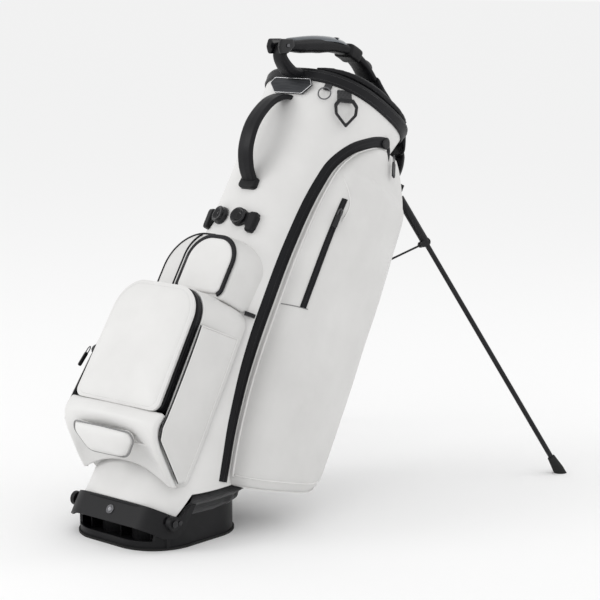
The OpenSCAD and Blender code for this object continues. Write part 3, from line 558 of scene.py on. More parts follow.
WHITE = leather("white_leather", (0.715, 0.71, 0.70), (0.77, 0.765, 0.755))
# Darker copy of the white leather for the pocket walls, slip pockets and garment flaps: painted shade on the
# bag's sides
SHADED_WHITE = leather("white_leather_painted_shade", (0.645, 0.64, 0.63), (0.705, 0.70, 0.69), grain=820, soft=24)
PIPING = leather("piping_leather", (0.72, 0.715, 0.705), (0.78, 0.775, 0.765), rough=(0.35, 0.45),
                 strength=0.2)
# Mid grey for the seam lines and the bumper's rim: painted shade in the seam grooves and round the bumper's
# foot
SEAM_SHADE = leather("seam_painted_shade", (0.20, 0.20, 0.20), (0.28, 0.28, 0.28), rough=(0.6, 0.75), grain=1800)
THREAD = woven("white_thread", (0.62, 0.62, 0.61), (0.76, 0.76, 0.75), pitch=0.0006)
# Near-black woven sheets inside the ball pocket and slip pockets: painted shade of the pockets' insides
POCKET_SHADE = woven("pocket_inside_painted_shade", (0.012, 0.012, 0.013), (0.03, 0.03, 0.032), pitch=0.0016)
BLACK = leather("black_leather", (0.006, 0.006, 0.007), (0.013, 0.013, 0.015), rough=(0.34, 0.5), grain=700,
                strength=0.5, shine=0.18)
BLACK_THREAD = woven("black_thread", (0.03, 0.03, 0.032), (0.07, 0.07, 0.074), pitch=0.0006)
ZIP_TAPE = leather("zip_tape", (0.004, 0.004, 0.005), (0.009, 0.009, 0.011), rough=(0.3, 0.42), grain=1500,
                   strength=0.25, soft=60, shine=0.18)
ZIP_TEETH = plastic("zip_teeth", (0.012, 0.012, 0.014), (0.03, 0.03, 0.034), rough=(0.25, 0.36), coat=0.3)
MOULDED = plastic("moulded_black", (0.005, 0.005, 0.006), (0.011, 0.011, 0.012), rough=(0.38, 0.55))
GLOSSY = plastic("glossy_black", (0.004, 0.004, 0.005), (0.010, 0.010, 0.012), rough=(0.2, 0.32), coat=0.35)
SLATE = plastic("slate_insert", (0.05, 0.06, 0.07), (0.085, 0.098, 0.115), rough=(0.16, 0.26), coat=0.7,
                strength=0.08)
RUBBER = plastic("sole_rubber", (0.012, 0.012, 0.012), (0.03, 0.03, 0.03), rough=(0.7, 0.88), grain=900,
                 strength=0.5)
PAINTED = plastic("painted_leg", (0.008, 0.008, 0.009), (0.016, 0.016, 0.018), rough=(0.3, 0.44), grain=2200,
                  strength=0.15, coat=0.1, metal=0.15)
NYLON = woven("nylon_black", (0.008, 0.008, 0.009), (0.026, 0.026, 0.028))
WEBBING = woven("webbing_black", (0.010, 0.010, 0.011), (0.034, 0.034, 0.036), pitch=0.0018, strength=0.9)
MESH = woven("spacer_mesh", (0.014, 0.014, 0.015), (0.05, 0.05, 0.053), pitch=0.0030, strength=1.0)
GUNMETAL = metal("gunmetal", (0.030, 0.031, 0.034), (0.060, 0.062, 0.066), rough=(0.34, 0.46))
STEEL = metal("dark_steel", (0.09, 0.09, 0.095), (0.2, 0.2, 0.21), rough=(0.25, 0.4), brushed=False)
SILVER = metal("silver_trim", (0.55, 0.55, 0.56), (0.72, 0.72, 0.73), rough=(0.18, 0.28))

# The colour slot of each material, which piece() looks up when a piece names no other
SLOTS = {material.name: slot for slot, group in (
    ("white_leather", (WHITE, SHADED_WHITE, PIPING, SEAM_SHADE, THREAD)),
    ("black_leather", (BLACK, BLACK_THREAD)),
    ("zip_black", (ZIP_TAPE, ZIP_TEETH)),
    ("moulded_black", (MOULDED, GLOSSY)),
    ("handle_insert", (SLATE,)),
    ("black_fabric", (NYLON, WEBBING, MESH, POCKET_SHADE)),
    ("gunmetal", (GUNMETAL, STEEL, SILVER))) for material in group}


def dress(node, material, bevel=0.0, segments=3):
    """Gives a CAD node that stays a better material, and softly broken edges."""
    obj = frame["nodes"][node]
    obj.data.materials.clear()
    obj.data.materials.append(material)
    if bevel:
        m = obj.modifiers.new("edges", "BEVEL")
        m.width = bevel * MM
        m.segments = segments
        m.limit_method = "ANGLE"
        m.angle_limit = math.radians(40)
        m.harden_normals = True
    return obj


# ---------- body ----------
def skin_puff(points):
    """How far the padded skin stands out or in at each point, in millimetres."""
    p = np.asarray(points, float)
    return ruffle(p, 1.3, 95) + ruffle(p * [1, 1, 0.35], 0.5, 34, 7.0)


def make_body():
    around, rows = 300, 240
    a = np.linspace(0, 2 * math.pi, around, endpoint=False)
    low = hem_z(body_pt(a, np.full_like(a, 60.0))[:, 1])
    t = np.linspace(0, 1, rows) ** 1.1
    z = low[None] + (MOUTH_Z - low[None]) * t[:, None]
    grid = body_pt(np.broadcast_to(a, z.shape), z)
    outward = unit(grid * [1, 1, 0] - np.stack([0 * z, centre_y(z), 0 * z], -1))
    edge = np.minimum(1, 6 * np.minimum(t, 1 - t))[:, None]
    grid = grid + outward * (skin_puff(grid) * edge - 0.8)[..., None]
    skin = surface("body_skin", grid[:, ::-1], WHITE)
    thicken(skin, WALL - 0.6)
    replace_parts(skin, "body_shell")


def skin_line(points, count=160, lift=0.0, side=1):
    """Curve on the skin through [y, z] points on one side."""
    c = curve(points, count)
    return on_skin(c[:, 0], c[:, 1], lift, side)


def on_skin(y, z, lift, side):
    """Points at depth y and height z, lifted off the padded skin along its normal."""
    flat = np.stack([side * body_x(y, z), y, z], -1)
    return flat + skin_normal(flat) * (skin_puff(flat) + lift)[:, None]


def skin_normal(path):
    """Outward directions of the body at points near it."""
    n = power(path[:, 2])
    dx = path[:, 0] / half_x(path[:, 2])
    dy = (path[:, 1] - centre_y(path[:, 2])) / half_y(path[:, 2])
    return unit(np.stack([spow(dx, n - 1) / half_x(path[:, 2]), spow(dy, n - 1) / half_y(path[:, 2]), 0 * dx],
                         -1))


def make_seams():
    """Long seams down both sides of the front panel: a sunken grey line painted as the shade of the folded
    edge, with stitches beside it.
    """
    for side, word in ((1, "right"), (-1, "left")):
        line = skin_line([[-79, 866], [-78, 800], [-80, 700], [-82, 620], [-84, 560], [-86, 480], [-87, 404]],
                         lift=-0.5, side=side)
        tube(f"seam_{word}", line, 0.9, SEAM_SHADE, count=8)
        beside = skin_line([[-74, 866], [-73, 800], [-75, 700], [-77, 620], [-79, 560], [-81, 480],
                            [-82, 404]], lift=-0.5, side=side)
        beads(f"stitches_{word}", beside, skin_normal(beside), STITCH_PITCH, STITCH, THREAD)
        low = skin_line([[-88, 400], [-90, 300], [-92, 200], [-92, 100], [-90, 14]], lift=0.3, side=side)
        tube(f"corner_piping_{word}", low, 1.6, PIPING)


# ---------- collar and mouth ----------
def make_collar():
    a = np.linspace(0, 2 * math.pi, 240, endpoint=False)
    profile = [(-6, 3.6), (-5.4, 5.0), (-3, 5.9), (3, 6.2), (9, 6.6), (14, 6.4), (18, 5.0), (20, 2.6),
               (20, 0), (18.6, -2.4), (14, -3.6), (6, -4.4), (-2, -5.2), (-10, -5.6)]
    grid = []
    for up, out in profile:
        z = np.full_like(a, min(MOUTH_Z + up, 899))
        p = body_pt(a, z, -out)
        p[:, 2] = MOUTH_Z + up
        grid.append(p)
    collar = surface("collar", np.array(grid), BLACK)
    thicken(collar, 0.8)
    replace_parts(collar, "top_collar")
    for up, out in ((-1.5, 6.2), (12, 6.7)):
        line = body_pt(a, np.full_like(a, MOUTH_Z + up), -out)
        beads(f"collar_stitches_{'low' if up < 0 else 'high'}", line, skin_normal(line), 3.4, (2.3, 0.6, 0.4),
              BLACK_THREAD)
    path = np.array([[*body_pt(t, np.array(896.0), 0.5)[:2],
                      MOUTH_Z + 21 + 6 * math.cos(math.radians((math.degrees(t) + 24) * 1.5))]
                     for t in np.radians(np.linspace(-78, 30, 60))])
    scale = np.sin(np.linspace(0.18, math.pi - 0.18, 60)) ** 0.5
    out = unit(path * [1, 1, 0] - [0, 35, 0])
    pad = sweep("collar_pad", path, oval(15, 13, 0.85), BLACK, side=out, scale=scale)
    inflate(pad, cap=1.5, voxel=4.0)
    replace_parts(pad, "collar_pad")


# ---------- handles ----------
def make_carry_handle():
    path = curve([[0, -103, 829], [0, -122, 820], [0, -143, 797], [0, -157, 762], [0, -160, 730],
                  [0, -152, 694], [0, -133, 666], [0, -112, 650]], 90)
    across = [-17, -16.4, -14.5, -12.8, -11, -8, 0, 8, 11, 12.8, 14.5, 16.4, 17]
    top = [1.2, 4.0, 5.4, 5.0, 3.2, 4.4, 5.4, 4.4, 3.2, 5.0, 5.4, 4.0, 1.2]
    section = list(zip(across, top)) + [(16.4, -2.6), (13, -4.6), (0, -5.4), (-13, -4.6), (-16.4, -2.6)]
    section = even(section + section[:1], 72, closed=True)
    section[:, 1] *= -1
    handle = sweep("carry_handle", path, section, BLACK, side=SIDEWAYS)
    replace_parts(handle, "carry_handle")
    _, s, up = frames(path, SIDEWAYS)
    for sign in (-1, 1):
        line = path + s * sign * 14.4 - up * 5.3
        beads(f"handle_stitches_{'a' if sign < 0 else 'b'}", line[4:-4], -up[4:-4], 3.4, (2.4, 0.6, 0.5),
              BLACK_THREAD)


def about_middle(outline, share):
    """The outline scaled about its own middle."""
    centre = outline.mean(0)
    return centre + (outline - centre) * share


def rounded_plate(name, outline, thick, place, material, body="bag", bevel=1.2, slot=None):
    """Plate with soft edges: an outline in its own XZ plane, thick along -Y, put in place by a function."""
    outline = np.asarray(outline, float)
    reach = np.linalg.norm(outline - outline.mean(0), axis=1).mean()
    grid = []
    for inset, depth in ((0, 0), (0, -thick + bevel), (bevel * 0.3, -thick + bevel * 0.3), (bevel, -thick)):
        ring = about_middle(outline, 1 - inset / reach)
        grid.append(xyz(ring[:, 0], depth, ring[:, 1]))
    for share in (0.97, 0.7, 0.35):
        ring = about_middle(outline, share * (1 - bevel / reach))
        grid.append(xyz(ring[:, 0], -thick - 0.15, ring[:, 1]))
    return surface(name, np.array([place(g) for g in grid]), material, body, caps=True, slot=slot)


def smooth_outline(points, count=96, radius=3.0):
    """Closed outline with softly rounded corners."""
    p = np.asarray(points, float)
    out = []
    m = len(p)
    for i in range(m):
        back, here, on = p[i - 1], p[i], p[(i + 1) % m]
        a, b = unit(back - here), unit(on - here)
        r = min(radius, 0.45 * np.linalg.norm(back - here), 0.45 * np.linalg.norm(on - here))
        for t in np.linspace(0, 1, 8):
            q0, q1 = here + a * r * (1 - t), here + b * r * t
            out.append(q0 + (q1 - q0) * t)
    return even(out + out[:1], count, closed=True)


def turned(points, origin, x=0.0, y=0.0, z=0.0):
    """Turns points about X, then Y, then Z, in degrees, and moves them to an origin."""
    p = np.asarray(points, float)
    for axis, angle in (("x", x), ("y", y), ("z", z)):
        c, s = math.cos(math.radians(angle)), math.sin(math.radians(angle))
        m = {"x": [[1, 0, 0], [0, c, -s], [0, s, c]], "y": [[c, 0, s], [0, 1, 0], [-s, 0, c]],
             "z": [[c, -s, 0], [s, c, 0], [0, 0, 1]]}[axis]
        p = p @ np.array(m).T
    return p + np.array(origin, float)


def make_handle_fittings():
    outline = smooth_outline([[-44, 17], [44, 17], [52, 5], [34, -14], [-34, -14], [-52, 5]], 160, 2)
    plate = rounded_plate("handle_plate", outline, 4, lambda g: turned(g, (3, -105, 850), x=4), GUNMETAL)
    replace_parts(plate, "handle_plate")
    line = turned(xyz(outline[:, 0] * 0.985, -3.9, outline[:, 1] * 0.96), (3, -105, 850), x=4)
    tube("plate_rim", line, 0.7, SILVER, closed=True, count=8)
    boot = rounded_plate("handle_boot", smooth_outline([[-21, -12], [-15, -16], [15, -16], [21, -12], [20, 7],
                                                        [-20, 7]], radius=4), 11,
                         lambda g: turned(g, (0, -104.6, 648), x=-4), MOULDED, bevel=2.5)
    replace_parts(boot, "handle_boot")


def make_lift_handle():
    route = [[0, -101, 880], [0, -126, 874], [0, -158, 884], [0, -160, 904]] + LIFT_ROUTE[4:]
    path = curve(route, 140)
    s = np.linspace(0, 1, 140)
    # A short stem in front, a full grip over the mouth and a flat end under the yoke
    marks = [0, 0.08, 0.17, 0.22, 0.27, 0.36, 0.5, 0.66, 0.74, 0.84, 1]
    wide = np.interp(s, marks, [1.1, 1.0, 0.8, 0.75, 0.9, 1.02, 1.06, 1.0, 1.12, 1.1, 1.3])
    thick = np.interp(s, marks, [1.2, 1.15, 1.0, 0.95, 1.2, 1.5, 1.62, 1.35, 1.15, 1.05, 0.8])
    scale = np.stack([wide, thick], -1)
    t, side, up = frames(path, SIDEWAYS)
    up = -up
    path = path - up * (7.5 * (thick - 1.0) * (s > 0.2))[:, None]
    handle = sweep("lift_handle", path, oval(36, 18, 0.72, 48), BLACK, side=SIDEWAYS, scale=scale)
    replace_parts(handle, "lift_handle")
    spine = path + up * 9.0 * thick[:, None]
    # Moulded insert that wraps over the top of the grip, widest near its button
    cut = slice(34, 100)
    n = 66
    taper = np.stack([np.interp(np.linspace(0, 1, n), [0, 0.12, 0.5, 0.8, 0.95, 1],
                                [0.3, 0.66, 0.85, 1.06, 1.0, 0.5]), dome_ends(np.zeros(n), 4)], -1)
    section = oval(37, 6.4, 0.9, 48)
    section = section + np.stack([0 * section[:, 0], 0.019 * section[:, 0] ** 2], -1)
    insert = sweep("lift_insert", (spine + up * 1.0)[cut], section, SLATE, side=SIDEWAYS, scale=taper)
    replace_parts(insert, "lift_insert")
    place = (spine + up * 3.2 + side * 7)[88]
    ring = circle(6.5, 40)
    button = [place + side[88] * (r * q[0]) + t[88] * (r * q[1] * 0.72) + up[88] * h
              for r, h in ((1.0, 0.0), (0.96, 0.7), (0.8, 1.0), (0.62, 0.5), (0.3, 0.2)) for q in ring]
    surface("insert_button", np.array(button).reshape(5, 40, 3), GLOSSY, caps=True, slot="handle_insert")
    for sign in (-1, 1):
        line = path + side * sign * 17.6 * wide[:, None] * 0.97 - up * 2.0 * thick[:, None]
        beads(f"grip_stitches_{'a' if sign < 0 else 'b'}", line[30:104], up[30:104] + side[30:104] * sign,
              3.2, (2.3, 0.6, 0.45), BLACK_THREAD)
    collar = sweep("strap_keeper", path[100:116], oval(45, 28, 0.42), MOULDED, side=SIDEWAYS,
                   scale=dome_ends(path[100:116], 3) * 0.25 + 0.75)
    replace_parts(collar, "strap_keeper")
    # Hinge bracket between the post and the grip
    tip = path[30]
    for sign in (-1, 1):
        outline = smooth_outline([[-20, 13], [14, 17], [20, 4], [2, -12], [-17, -15], [-24, -2]], radius=4)
        angle = 24

        def place(g, k=sign):
            return turned(np.stack([g[:, 1] * -k, g[:, 0], g[:, 2]], -1), tip + [k * 12, -2, 2], x=angle)

        rounded_plate(f"grip_bracket_{'a' if sign < 0 else 'b'}", outline, 5, place, GLOSSY, bevel=1.4)
        pin = [tip + [sign * 16, -4, 4], tip + [sign * 19, -4, 4]]
        tube(f"grip_rivet_{'a' if sign < 0 else 'b'}", pin, 3.6, STEEL, slot="moulded_black", count=20)
    hub = np.array([0, 64, 988.5])
    knob = []
    for r, h in ((17, 0), (17, 4), (16, 6.5), (14.4, 8.8), (11.5, 10.8), (7.5, 12.2), (3, 12.8)):
        ring = circle(r, 48)
        knob.append(turned(xyz(ring[:, 0], ring[:, 1], h), hub, x=-18))
    surface("release_knob", np.array(knob), GLOSSY, caps=True)


# ---------- straps and back ----------
def make_straps():
    path = curve([[0, 84, 979], [0, 118, 963], [0, 150, 938], [0, 180, 906], [0, 197, 872], [0, 200, 856]],
                 70)
    s = np.linspace(0, 1, 70)
    scale = np.stack([np.interp(s, [0, 0.2, 0.45, 0.7, 1], [0.3, 0.42, 0.72, 1.0, 1.06]), dome_ends(path, 5)],
                     -1)
    _, across, up = frames(path, SIDEWAYS)
    section = oval(164, 15, 0.62, 64)
    grid = (path[:, None] + across[:, None] * (section[None, :, :1] * scale[:, None, :1])
            + up[:, None] * (section[None, :, 1:] * scale[:, None, 1:]))
    grid[..., 1] -= 0.0046 * grid[..., 0] ** 2
    yoke = surface("strap_yoke", grid, BLACK, caps=True)
    inflate(yoke, cap=2.5, voxel=5.0)
    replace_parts(yoke, "strap_yoke")
    pads, webs, buckles = [], [], []
    for side in (1, -1):
        word = "right" if side > 0 else "left"
        line = curve([[side * 40, 190, 876], [side * 47, 195, 840], [side * 46, 192, 805],
                      [side * 44, 178, 770], [side * 42, 164, 740], [side * 41, 156, 702]], 80)
        n = len(line)
        ridge = 1 + 0.10 * np.cos(np.linspace(0, 14 * math.pi, n))
        scale = np.stack([np.interp(np.linspace(0, 1, n), [0, 0.1, 0.85, 1], [0.85, 1, 0.95, 0.55]),
                          dome_ends(line, 5) * ridge], -1)
        pad = sweep(f"shoulder_pad_{word}", line, oval(52, 13, 0.7, 48), BLACK, side=SIDEWAYS, scale=scale)
        pads.append(pad)
        _, s_dir, up = frames(line, SIDEWAYS)
        for sign in (-1, 1):
            edge = line + s_dir * sign * 25 * scale[:, :1]
            sweep(f"pad_binding_{word}_{'a' if sign < 0 else 'b'}", edge, oval(3.4, 5, 0.9, 12), WEBBING,
                  side=SIDEWAYS)
        mesh_line = line - up * 6.2
        sweep(f"pad_mesh_{word}", mesh_line[6:-8], oval(38, 2.2, 0.6, 24), MESH, side=SIDEWAYS,
              scale=dome_ends(mesh_line[6:-8], 4))
        web = curve([[side * 41, 157, 712], [side * 40, 154, 640], [side * 38, 152, 560],
                     [side * 37, 148, 476]], 60)
        webs.append(sweep(f"strap_webbing_{word}", web, oval(25, 2.2, 0.35, 24), WEBBING, side=SIDEWAYS))
        outline = smooth_outline([[-18, -15], [18, -15], [18, 15], [-18, 15]], radius=5)
        frame_pts = []
        for share, depth in ((1, -1), (1, 3), (0.95, 5), (0.78, 5.6), (0.66, 4.4), (0.62, 3.2)):
            frame_pts.append(xyz(outline[:, 0] * share + side * 38.7, 153 + depth, outline[:, 1] * share + 600))
        buckle = surface(f"strap_buckle_{word}", np.array(frame_pts), GLOSSY, caps=True)
        bar = tube(f"buckle_bar_{word}", [[side * 38.7 - 14, 158.6, 603], [side * 38.7 + 14, 158.6, 603]],
                   1.8, MOULDED)
        buckles += [buckle, bar]
    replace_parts(pads[0], "shoulder_straps")
    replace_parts(webs[0], "strap_webbing")
    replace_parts(join("strap_buckles", buckles), "strap_buckles")


def make_hip_pad():
    a = np.linspace(0, 2 * math.pi, 160, endpoint=False)
    grid = []
    for y, share in ((127, 0.9), (129, 0.97), (132, 1.0), (136, 0.98), (139, 0.9), (141, 0.72), (142, 0.4)):
        w, h = 60 * share, 122 * (1 - (1 - share) * 0.55)
        grid.append(xyz(w * spow(np.cos(a), 0.55), y, 430 + h * spow(np.sin(a), 0.55)))
    pad = surface("hip_pad", np.array(grid), WHITE, caps=True)
    inflate(pad, cap=6.0, voxel=5.0, pressure=5.0)
    groove_pad(pad)
    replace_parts(pad, "hip_pad")
    rim = xyz(61 * spow(np.cos(a), 0.55), 133.0, 430 + 123.5 * spow(np.sin(a), 0.55))
    tube("hip_pad_piping", rim, 1.8, PIPING, closed=True)


def groove_pad(pad):
    """Presses sewn channels across the pad, where it faces away from the bag."""
    co = np.array([v.co for v in pad.data.vertices], float) / MM
    y = co[:, 1] * COS - co[:, 2] * SIN
    z = co[:, 1] * SIN + co[:, 2] * COS
    depth = np.zeros(len(co))
    for level in (350, 430, 510):
        bend = level - 0.002 * co[:, 0] ** 2
        depth += 3.4 * np.exp(-((z - bend) / 3.2) ** 2)
    y = y - depth * (y > 134)
    new = leaned(np.stack([co[:, 0], y, z], -1))
    pad.data.vertices.foreach_set("co", new.astype(np.float32).ravel())
    pad.data.update()


# ---------- fittings on the front ----------
def disc(rings, hub, turn_z, count=48):
    """Turned solid whose axis points forward: [radius, forward] rings, about a hub."""
    a = np.linspace(0, 2 * math.pi, count, endpoint=False)
    return np.array([turned(xyz(r * np.cos(a), -h, r * np.sin(a)), hub, z=turn_z) for r, h in rings])


def make_docks():
    made = []
    for hub, turn, mirror in (((12, -108, 574), 8, 1), ((-36, -105.5, 574), -18, -1)):
        word = "right" if mirror > 0 else "left"
        rings = [(17.5, 0), (17.5, 5), (16.6, 6.8), (14.6, 7.4), (14.6, 9.4), (16, 10.6), (16, 13),
                 (14.4, 14.4), (11, 14.2), (9.6, 9.5), (4, 9), (1, 9)]
        made.append(surface(f"dock_disc_{word}", disc(rings, hub, turn), GLOSSY, caps=True))
        place = lambda g, h=hub, tr=turn: turned(g, h, z=tr)
        arm = smooth_outline([[mirror * x, z] for x, z in ((-6, 11), (38, 11), (42, 5), (41, -19), (34, -24),
                                                           (23, -21), (20, -12), (-6, -14))], radius=4)
        made.append(rounded_plate(f"dock_arm_{word}", arm, 9, place, MOULDED, bevel=2))
        tab = smooth_outline([[mirror * x, z] for x, z in ((23, 13), (40, 13), (39, -26), (24, -26))],
                             radius=4)
        made.append(rounded_plate(f"dock_tab_{word}", tab, 12.5, place, MOULDED, bevel=3))
    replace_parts(join("docks", made), "docks")


def make_rings():
    """Hexagonal carry ring and small dee ring with their fabric tabs."""
    def at_ring(g):
        return turned(turned(turned(g, (0, 0, 0), x=20), (0, 0, 0), z=-34.5), (95.5, -56.5, 850))

    def at_dee(g):
        return turned(g, (72, -80, 859), z=-63)

    shape = smooth_outline([[-23, 0], [-14, 12], [14, 12], [23, 0], [21, -18], [0, -42], [-21, -18]], 120, 3)
    centre = np.array([0, -12.0])
    grid = []
    for share, depth in ((1.0, 0.6), (1.03, 1.6), (1.03, 3.0), (0.98, 4.2), (0.82, 4.2), (0.76, 3.0),
                         (0.76, 1.6), (0.82, 0.4)):
        ring = centre + (shape - centre) * share
        grid.append(at_ring(np.stack([17.6 + np.full(len(ring), depth), ring[:, 0], ring[:, 1] - 12], -1)))
    ring = surface("carry_ring", np.array(grid), GLOSSY, "ring", closed_column=True)
    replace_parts(ring, "carry_ring")
    a = np.linspace(0, 2 * math.pi, 60, endpoint=False)
    dee = at_dee(xyz(15.2, 11.7 * np.cos(a), -12.7 + 11.7 * np.sin(a)))
    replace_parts(tube("dee_ring", dee, 1.3, STEEL, "dee", closed=True), "dee_ring")
    parts = []
    for word, place, width, top, bead in (("carry", at_ring, 28, 18, 2.4), ("dee", at_dee, 14, 10, 1.2)):
        loop = curve([[6.8, 0, top], [7.2, 0, 4], [8.5, 0, -2], [9.4 + bead, 0, -2 - bead],
                      [9.6 + 2 * bead, 0, -1], [9.2 + bead, 0, 2 + bead * 0.6], [9.4, 0, top * 0.6],
                      [8.8, 0, top + 1]], 70)
        parts.append(sweep(f"ring_tab_{word}", place(loop), oval(width, 1.8, 0.3, 24), WEBBING,
                           side=unit(place(np.array([[0, 1.0, 0]])) - place(np.array([[0, 0, 0.0]])))[0]))
    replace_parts(join("ring_tabs", parts), "ring_tabs")


# ---------- ball pocket ----------
def arch(half, zb, zt, rb, rt, xc=0.0, count=240):
    """Arch-topped outline, [x, z], that starts at the middle of its bottom edge and runs to +X."""
    def corner(cx, cz, r, start):
        t = np.radians(np.linspace(start, start + 90, 24))
        return np.stack([cx + r * np.cos(t), cz + r * np.sin(t)], -1)
    line = np.concatenate([[[0, zb]], corner(half - rb, zb + rb, rb, 270), corner(half - rt, zt - rt, rt, 0),
                           corner(rt - half, zt - rt, rt, 90), corner(rb - half, zb + rb, rb, 180),
                           [[0, zb]]])
    out = even(line, count, closed=True)
    out[:, 0] += xc
    return out


def taper(z):
    """Share of its width that the ball pocket keeps at height z."""
    return 1 - POCKET_TAPER * np.clip((z - DOOR_BOTTOM) / (BALL_TOP - DOOR_BOTTOM), 0, 1)


def ball_outline(half, zb, zt, rb, rt, count=240):
    """The pocket's outline, which narrows a little toward its top."""
    out = arch(half, zb, zt, rb, rt, count=count)
    out[:, 0] *= taper(out[:, 1])
    return out


def ring_at(outline, y):
    return np.stack([outline[:, 0], np.full(len(outline), float(y)) if np.isscalar(y) else y, outline[:, 1]],
                    -1)


def crowned(name, outline_of, depths, material, body, crown, slot=None, sag=0.0):
    """Panel with a soft rim and a crowned face.
    outline_of(inset) gives outlines, depths the rim's y values."""
    grid = [ring_at(outline_of(i), y) for i, y in depths]
    rim_inset, rim_y = depths[-1]
    rim = outline_of(rim_inset)
    centre = rim.mean(0)
    for share in np.linspace(0.97, 0.06, 26):
        rise = crown * (1 - share ** 2.4) ** 0.7
        ring = centre + (rim - centre) * share
        drop = sag * (1 - share ** 2) * np.clip((centre[1] - ring[:, 1]) / 100, -1, 1)
        grid.append(ring_at(ring, rim_y - rise - drop))
    return surface(name, np.array(grid), material, body, caps=True, slot=slot)


def make_ball_pocket():
    half = BALL_HALF
    # Depth, then how far each ring stands past the pocket's half width, bottom and top, and its radii
    stations = [(-88, 6, -2, 6, 18, 36), (-110, 8.5, 4, 7, 20, 42), (-140, 8, 13, 6, 22, 50),
                (-168, 6.5, 24, 4, 23, 56), (-186, 3, 36, 1, 24, 59), (-191, 0.6, 41, -1, 24, 60),
                (-192, -2.5, 44, -4, 22, 58), (-190, -5, 48, -7, 20, 56)]
    fine = curve(np.array(stations) + [0, half, SKIRT_LOW, BALL_TOP, 0, 0], 70)
    grid = np.array([ring_at(ball_outline(*row[1:]), row[0]) for row in fine])
    grid[..., 2] += scoop(grid[..., 0], grid[..., 1]) * np.clip((DOOR_BOTTOM - grid[..., 2]) / 40, 0, 1)
    side = np.clip(np.abs(grid[..., 0]) / 100 - 0.6, 0, 0.4)
    grid[..., 0] += np.sign(grid[..., 0]) * side * (ruffle(grid, 2.5, 60, 3.0) + 1.0)
    walls = surface("ball_pocket", grid, SHADED_WHITE)
    # Back wall that closes the pocket toward the body, near-black as painted shade inside the pocket
    edge = ball_outline(half - 6, SKIRT_LOW + 49, BALL_TOP - 8, 20, 56)
    inner = [ring_at(edge, -189.0), ring_at(edge, -150.0), ring_at(edge, -128.0)]
    inner += [ring_at(about_middle(edge, share), -125.0) for share in (0.9, 0.5, 0.1, 0.002)]
    surface("ball_pocket_shade", np.array(inner), POCKET_SHADE, caps=False, slot="white_leather")
    piping = ring_at(ball_outline(half + 0.4, SKIRT_LOW + 41, BALL_TOP - 0.4, 24, 60), -191.5)
    tube("ball_piping", piping, 1.9, PIPING, closed=True)
    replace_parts(walls, "ball_pocket")

    # Zipper gusset between the pocket and its door, with teeth along its middle
    rows = [(-192, 2.2), (-195, 1.6), (-199, 1.6), (-199.8, 2.6), (-200.6, 1.6), (-204, 1.8), (-208, 3.4)]
    grid = np.array([ring_at(ball_outline(half - i, DOOR_BOTTOM + 1, BALL_TOP - 1 - i, 20, 59 - i), y)
                     for y, i in rows])
    gusset = surface("ball_zip", grid, ZIP_TAPE)
    thicken(gusset, 1.6)
    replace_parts(gusset, "ball_zip")
    line = ring_at(ball_outline(half - 2.4, DOOR_BOTTOM + 1, BALL_TOP - 3.4, 20, 57), -199.8)
    start = 36
    visible = line[start:-start]
    outward = unit(visible * [1, 0, 1] - [0, 0, 250])
    beads("ball_zip_teeth", visible, outward, 1.9, (1.1, 3.6, 1.2), ZIP_TEETH)

    # Door: the front panel, hinged at its bottom edge
    def outline(inset):
        return ball_outline(half - 4 - inset, DOOR_BOTTOM + 1.5 + inset * 0.6, BALL_TOP - 4 - inset, 16,
                            56 - inset)
    door = crowned("ball_door", outline, [(3, -207.6), (0.6, -208.5), (0, -210.5), (0, -213), (0.8, -215),
                                          (2.6, -216.4), (5, -217.2), (6.5, -217)], WHITE, "pocket_door",
                   crown=9.5, sag=1.5)
    thin = ring_at(outline(0.8), -214.2)
    tube("door_piping", thin, 1.4, PIPING, "pocket_door", closed=True)
    line = ring_at(outline(7.5), -217.4)
    beads("door_stitches", line, np.tile([0, -1.0, 0], (len(line), 1)), 3.6, (2.5, 0.6, 0.35), THREAD,
          "pocket_door")
    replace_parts(door, "ball_door")


def scoop(x, y):
    """How far the pocket's underside is arched up between its two sides."""
    return 42 * np.clip(1 - (x / 106) ** 2, 0, 1) ** 0.8 * np.clip((-100 - y) / 50, 0, 1)


